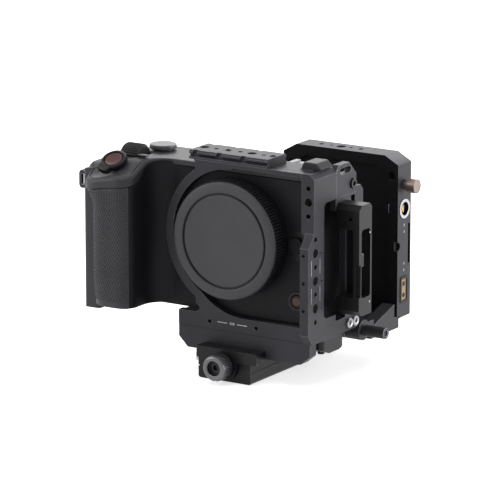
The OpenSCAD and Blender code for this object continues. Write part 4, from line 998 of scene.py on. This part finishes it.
slab("power_plate", socket_outline(0.02, 2.9, 6.2, 0.8), (1, 0, 0), 0.12, BRONZE, "battery_mount")
slab("power_frame", socket_outline(0.1, 4.3, 7.9, 1.4), (1, 0, 0), 0.75, BLACK_ABS_AND_SHADE, "battery_mount",
     socket_outline(0.1, 2.9, 6.3, 0.8))
pins = [(at(power_hi.x + 0.16, socket_y, power_z + s * 3.4), Vector((1, 0, 0))) for s in (-1, 1)]
pin = turned("pin", Vector((0, 0, 0)), (0, 0, 1),
             [(0, 0.1), (0.7, 0.1), (0.8, 0.02), (1.5, 0.02), (1.5, -0.2), (0, -0.2)], BLACK_ABS_AND_SHADE, 24)
scattered("power_pins", pin, pins, BLACK_ABS_AND_SHADE, "battery_mount")

# %% Receiver contacts
lo, hi = from_lens("contact_block")
bm = bmesh.new()
bend = [(-2.9, -2.0), (2.5, -2.0), (2.9, -1.6), (2.3, 1.4), (1.2, 2.6), (0.2, 2.2), (-0.2, 1.2)]
strip = [[bm.verts.new((x * MM, (y + t) * MM, z * MM)) for y, z in bend for t in (0, 0.25)]
         for x in (-0.4, 0.4)]
for a, b in zip(strip, strip[1:]):
    for i in range(0, len(a) - 2, 2):
        bm.faces.new((a[i], a[i + 2], b[i + 2], b[i]))
        bm.faces.new((a[i + 1], b[i + 1], b[i + 3], a[i + 3]))
    for i in (0, len(a) - 2):
        bm.faces.new((a[i], b[i], b[i + 1], a[i + 1]))
for side in strip:
    for i in range(0, len(side) - 2, 2):
        bm.faces.new((side[i], side[i + 1], side[i + 3], side[i + 2]))
bmesh.ops.recalc_face_normals(bm, faces=bm.faces)
strip_piece = as_piece("strip", bm, GOLD, sharp=40)
slots = [(at((lo.x + hi.x) / 2 + 5 * i, (lo.y + hi.y) / 2, (lo.z + hi.z) / 2), Vector((0, 0, 1)))
         for i in range(-2, 3)]
scattered("receiver_contacts", strip_piece, slots, GOLD, "battery_mount")

# %% Painted shade: the cage's lowest faces take the dark finish, for the seam under the cage, and so do the battery shell's forward faces, for the gap before it
lo, hi = from_lens("cage_front")
for name in ("cage_front_soft", "cage_side_soft"):
    refinished(name, HARD_ANODISED_AND_SHADE, lambda c, n: c.z < lo.z + 0.5)
# The battery shell's forward-facing faces are darker: painted shade in the gap between it and the
# camera.
refinished("battery_shell_soft", HARD_ANODISED_AND_SHADE, lambda c, n: n.y < -0.6)

# %% Painted shade in the tapped holes: their walls take the black finish, as no light falls there
bores = [(Vector(m["pos_m"]) / MM + TO_LENS, Vector(m["axis"]), m["dims"]["r_mm"],
          m["dims"]["length_mm"]) for m in mounts.values()]


def in_bore(centre, normal):
    """Whether a face is the wall of a tapped hole."""
    for mouth, axis, r, length in bores:
        away = centre - mouth
        along = away.dot(axis)
        near = abs(along) < length + 0.5 and (away - axis * along).length < r + 0.4
        if near and abs(normal.dot(axis)) < 0.3:
            return True
    return False


for n in ("cage_side", "top_rail", "battery_shell"):
    refinished(n + "_soft", BLACK_ABS_AND_SHADE, in_bore)

# %% Painted shade round the lens release: a dark ring on the front stands for the shade of its recess
lo, hi = from_lens("lens_release")
skin_y = from_lens("body_front_cover")[0].y
corners = [(x, s, math.radians(first + 15 * i)) for x, s, first in
           ((lo.x + 2.2, 1, 90), (lo.x + 2.2, -1, 180), (hi.x - 1, -1, 270), (hi.x - 1, 1, 360))
           for i in range(7)]
well = [at(x + 3 * math.cos(a), skin_y + 0.1, s * 5.4 + 3 * math.sin(a)) for x, s, a in corners]
gap = [at((lo.x + hi.x) / 2 + 4.9 * math.cos(a), skin_y + 0.1, 4.9 * math.sin(a))
       for _, _, a in corners]
slab("release_well", well, (0, -1, 0), 0.35, BLACK_ABS_AND_SHADE, "camera", gap)

# %% Screen glass
lo, hi = from_lens("screen")
refinished("screen_soft", GLASS,
           lambda c, n: n.y > 0.95 and hi.y - 0.7 < c.y < hi.y - 0.3 and c.x < hi.x - 3)

# %% [markdown]
# ## Printed marks
# White screen-printed ink marks the middle of the base, the guard, the sockets
# and the row of tapped holes at the side. The marks are plain lines and dots
# that stand a hundredth of a millimetre proud of the surface, as ink does.

# %% Lines and dots of white ink
def tile_mesh(w_mm, h_mm, r_mm):
    """A flat tile with cut corners, lying in XY, its top just above the origin."""
    x, y = w_mm / 2, h_mm / 2
    corners = [(x - r_mm, y), (-x + r_mm, y), (-x, y - r_mm), (-x, -y + r_mm), (-x + r_mm, -y),
               (x - r_mm, -y), (x, -y + r_mm), (x, y - r_mm)]
    rings = [[(a * MM, b * MM, z * MM) for a, b in corners] for z in (-0.05, 0.01)]
    return ringed("tile", rings, sharp=30)


def marks(name, size_mm, points, direction, body="camera"):
    """Sets one tile, given by its width, height and corner, on some points of a surface."""
    scattered(name, tile_mesh(*size_mm), [(p, Vector(direction)) for p in points], PRINT, body)


lo, hi = from_lens("cage_front")
bar_z = lo.z + 4.7
marks("centre_lines", (6.6, 0.36, 0.08), [at(x, lo.y, bar_z) for x in (-6.6, 6.6)], (0, -1, 0))
marks("centre_ticks", (0.42, 1.6, 0.08), [at(x, lo.y, bar_z) for x in (-1.2, 0, 1.2)], (0, -1, 0))
lo, hi = from_lens("port_guard")
marks("guard_dots", (0.9, 0.9, 0.25), [at(hi.x, hi.y - 2.0, z) for z in (hi.z - 17, lo.z + 7)],
      (1, 0, 0))
lo, hi = from_lens("battery_shell")
marks("plate_ticks", (1.6, 0.45, 0.1),
      [at(hi.x, socket_y, z) for z in (ring_lo.z - 4, ring_lo.z - 8, power_hi.z + 8, power_hi.z + 4)],
      (1, 0, 0), "battery_mount")
tapped = sorted((Vector(m["pos_m"]) for name, m in mounts.items() if name.startswith("side_thread")),
                key=lambda p: p.z)
HOLE_PITCH = 0.016                    # metres between neighbours in the row
beside = [Vector((0, y * MM, 0)) for y in (-4.6, 4.6)]
between = [(a + b) / 2 for a, b in zip(tapped, tapped[1:]) if b.z - a.z < HOLE_PITCH + MM]
marks("side_lines", (9.0, 0.18, 0.05), [p + b for p in between for b in beside], (1, 0, 0))

# %% [markdown]
# ## Thumb rest
# The thumb holds the back of the grip on a rubber pad with small studs. The
# pad is a set of rounded rectangles that shrink as they rise, which gives it a
# soft crown that flat sides with a bevel would not have.

# %% Thumb rest
lo, hi = from_lens("rear_shell")
back = hi.y
pad_x, pad_z = lo.x + 12.5, from_lens("rear_wheel")[1].z + 14
half_x, half_z, PAD_CORNER = 8.5, 11.0, 5.0


def pad_ring(inset, rise):
    """One level of the pad: a rounded rectangle on the back, pulled in and raised."""
    corner = max(PAD_CORNER - inset, 0.6)
    return [at(pad_x + x, back + rise, pad_z + z)
            for x, z in rounded(half_x - inset, half_z - inset, corner, 6)]


levels = ((0, -0.4), (0, 0.5), (0.3, 0.95), (1.0, 1.25), (2.6, 1.5), (5.0, 1.65), (7.6, 1.7))
pad = ringed("thumb_rest", [pad_ring(*level) for level in levels], RUBBER, sharp=50)
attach(pad, "camera")
places = []
for j in range(-6, 7):
    for i in range(-5, 6):
        x, z = (i + j % 2 / 2) * 1.6, j * 1.45
        if abs(x) < half_x - 2.2 and abs(z) < half_z - 2.2:
            crown = 1.68 - 0.35 * max(abs(x) / half_x, abs(z) / half_z) ** 3
            places.append((at(pad_x + x, back + crown - 0.12, pad_z + z), Vector((0, 1, 0))))
scattered("thumb_studs", stud_mesh("stud", 8, 0.6, 0.42), places, RUBBER, "camera")

# %% [markdown]
# ## End
# At the end the view layer is brought up to date.

# %% Bring the view layer up to date
bpy.context.view_layer.update()
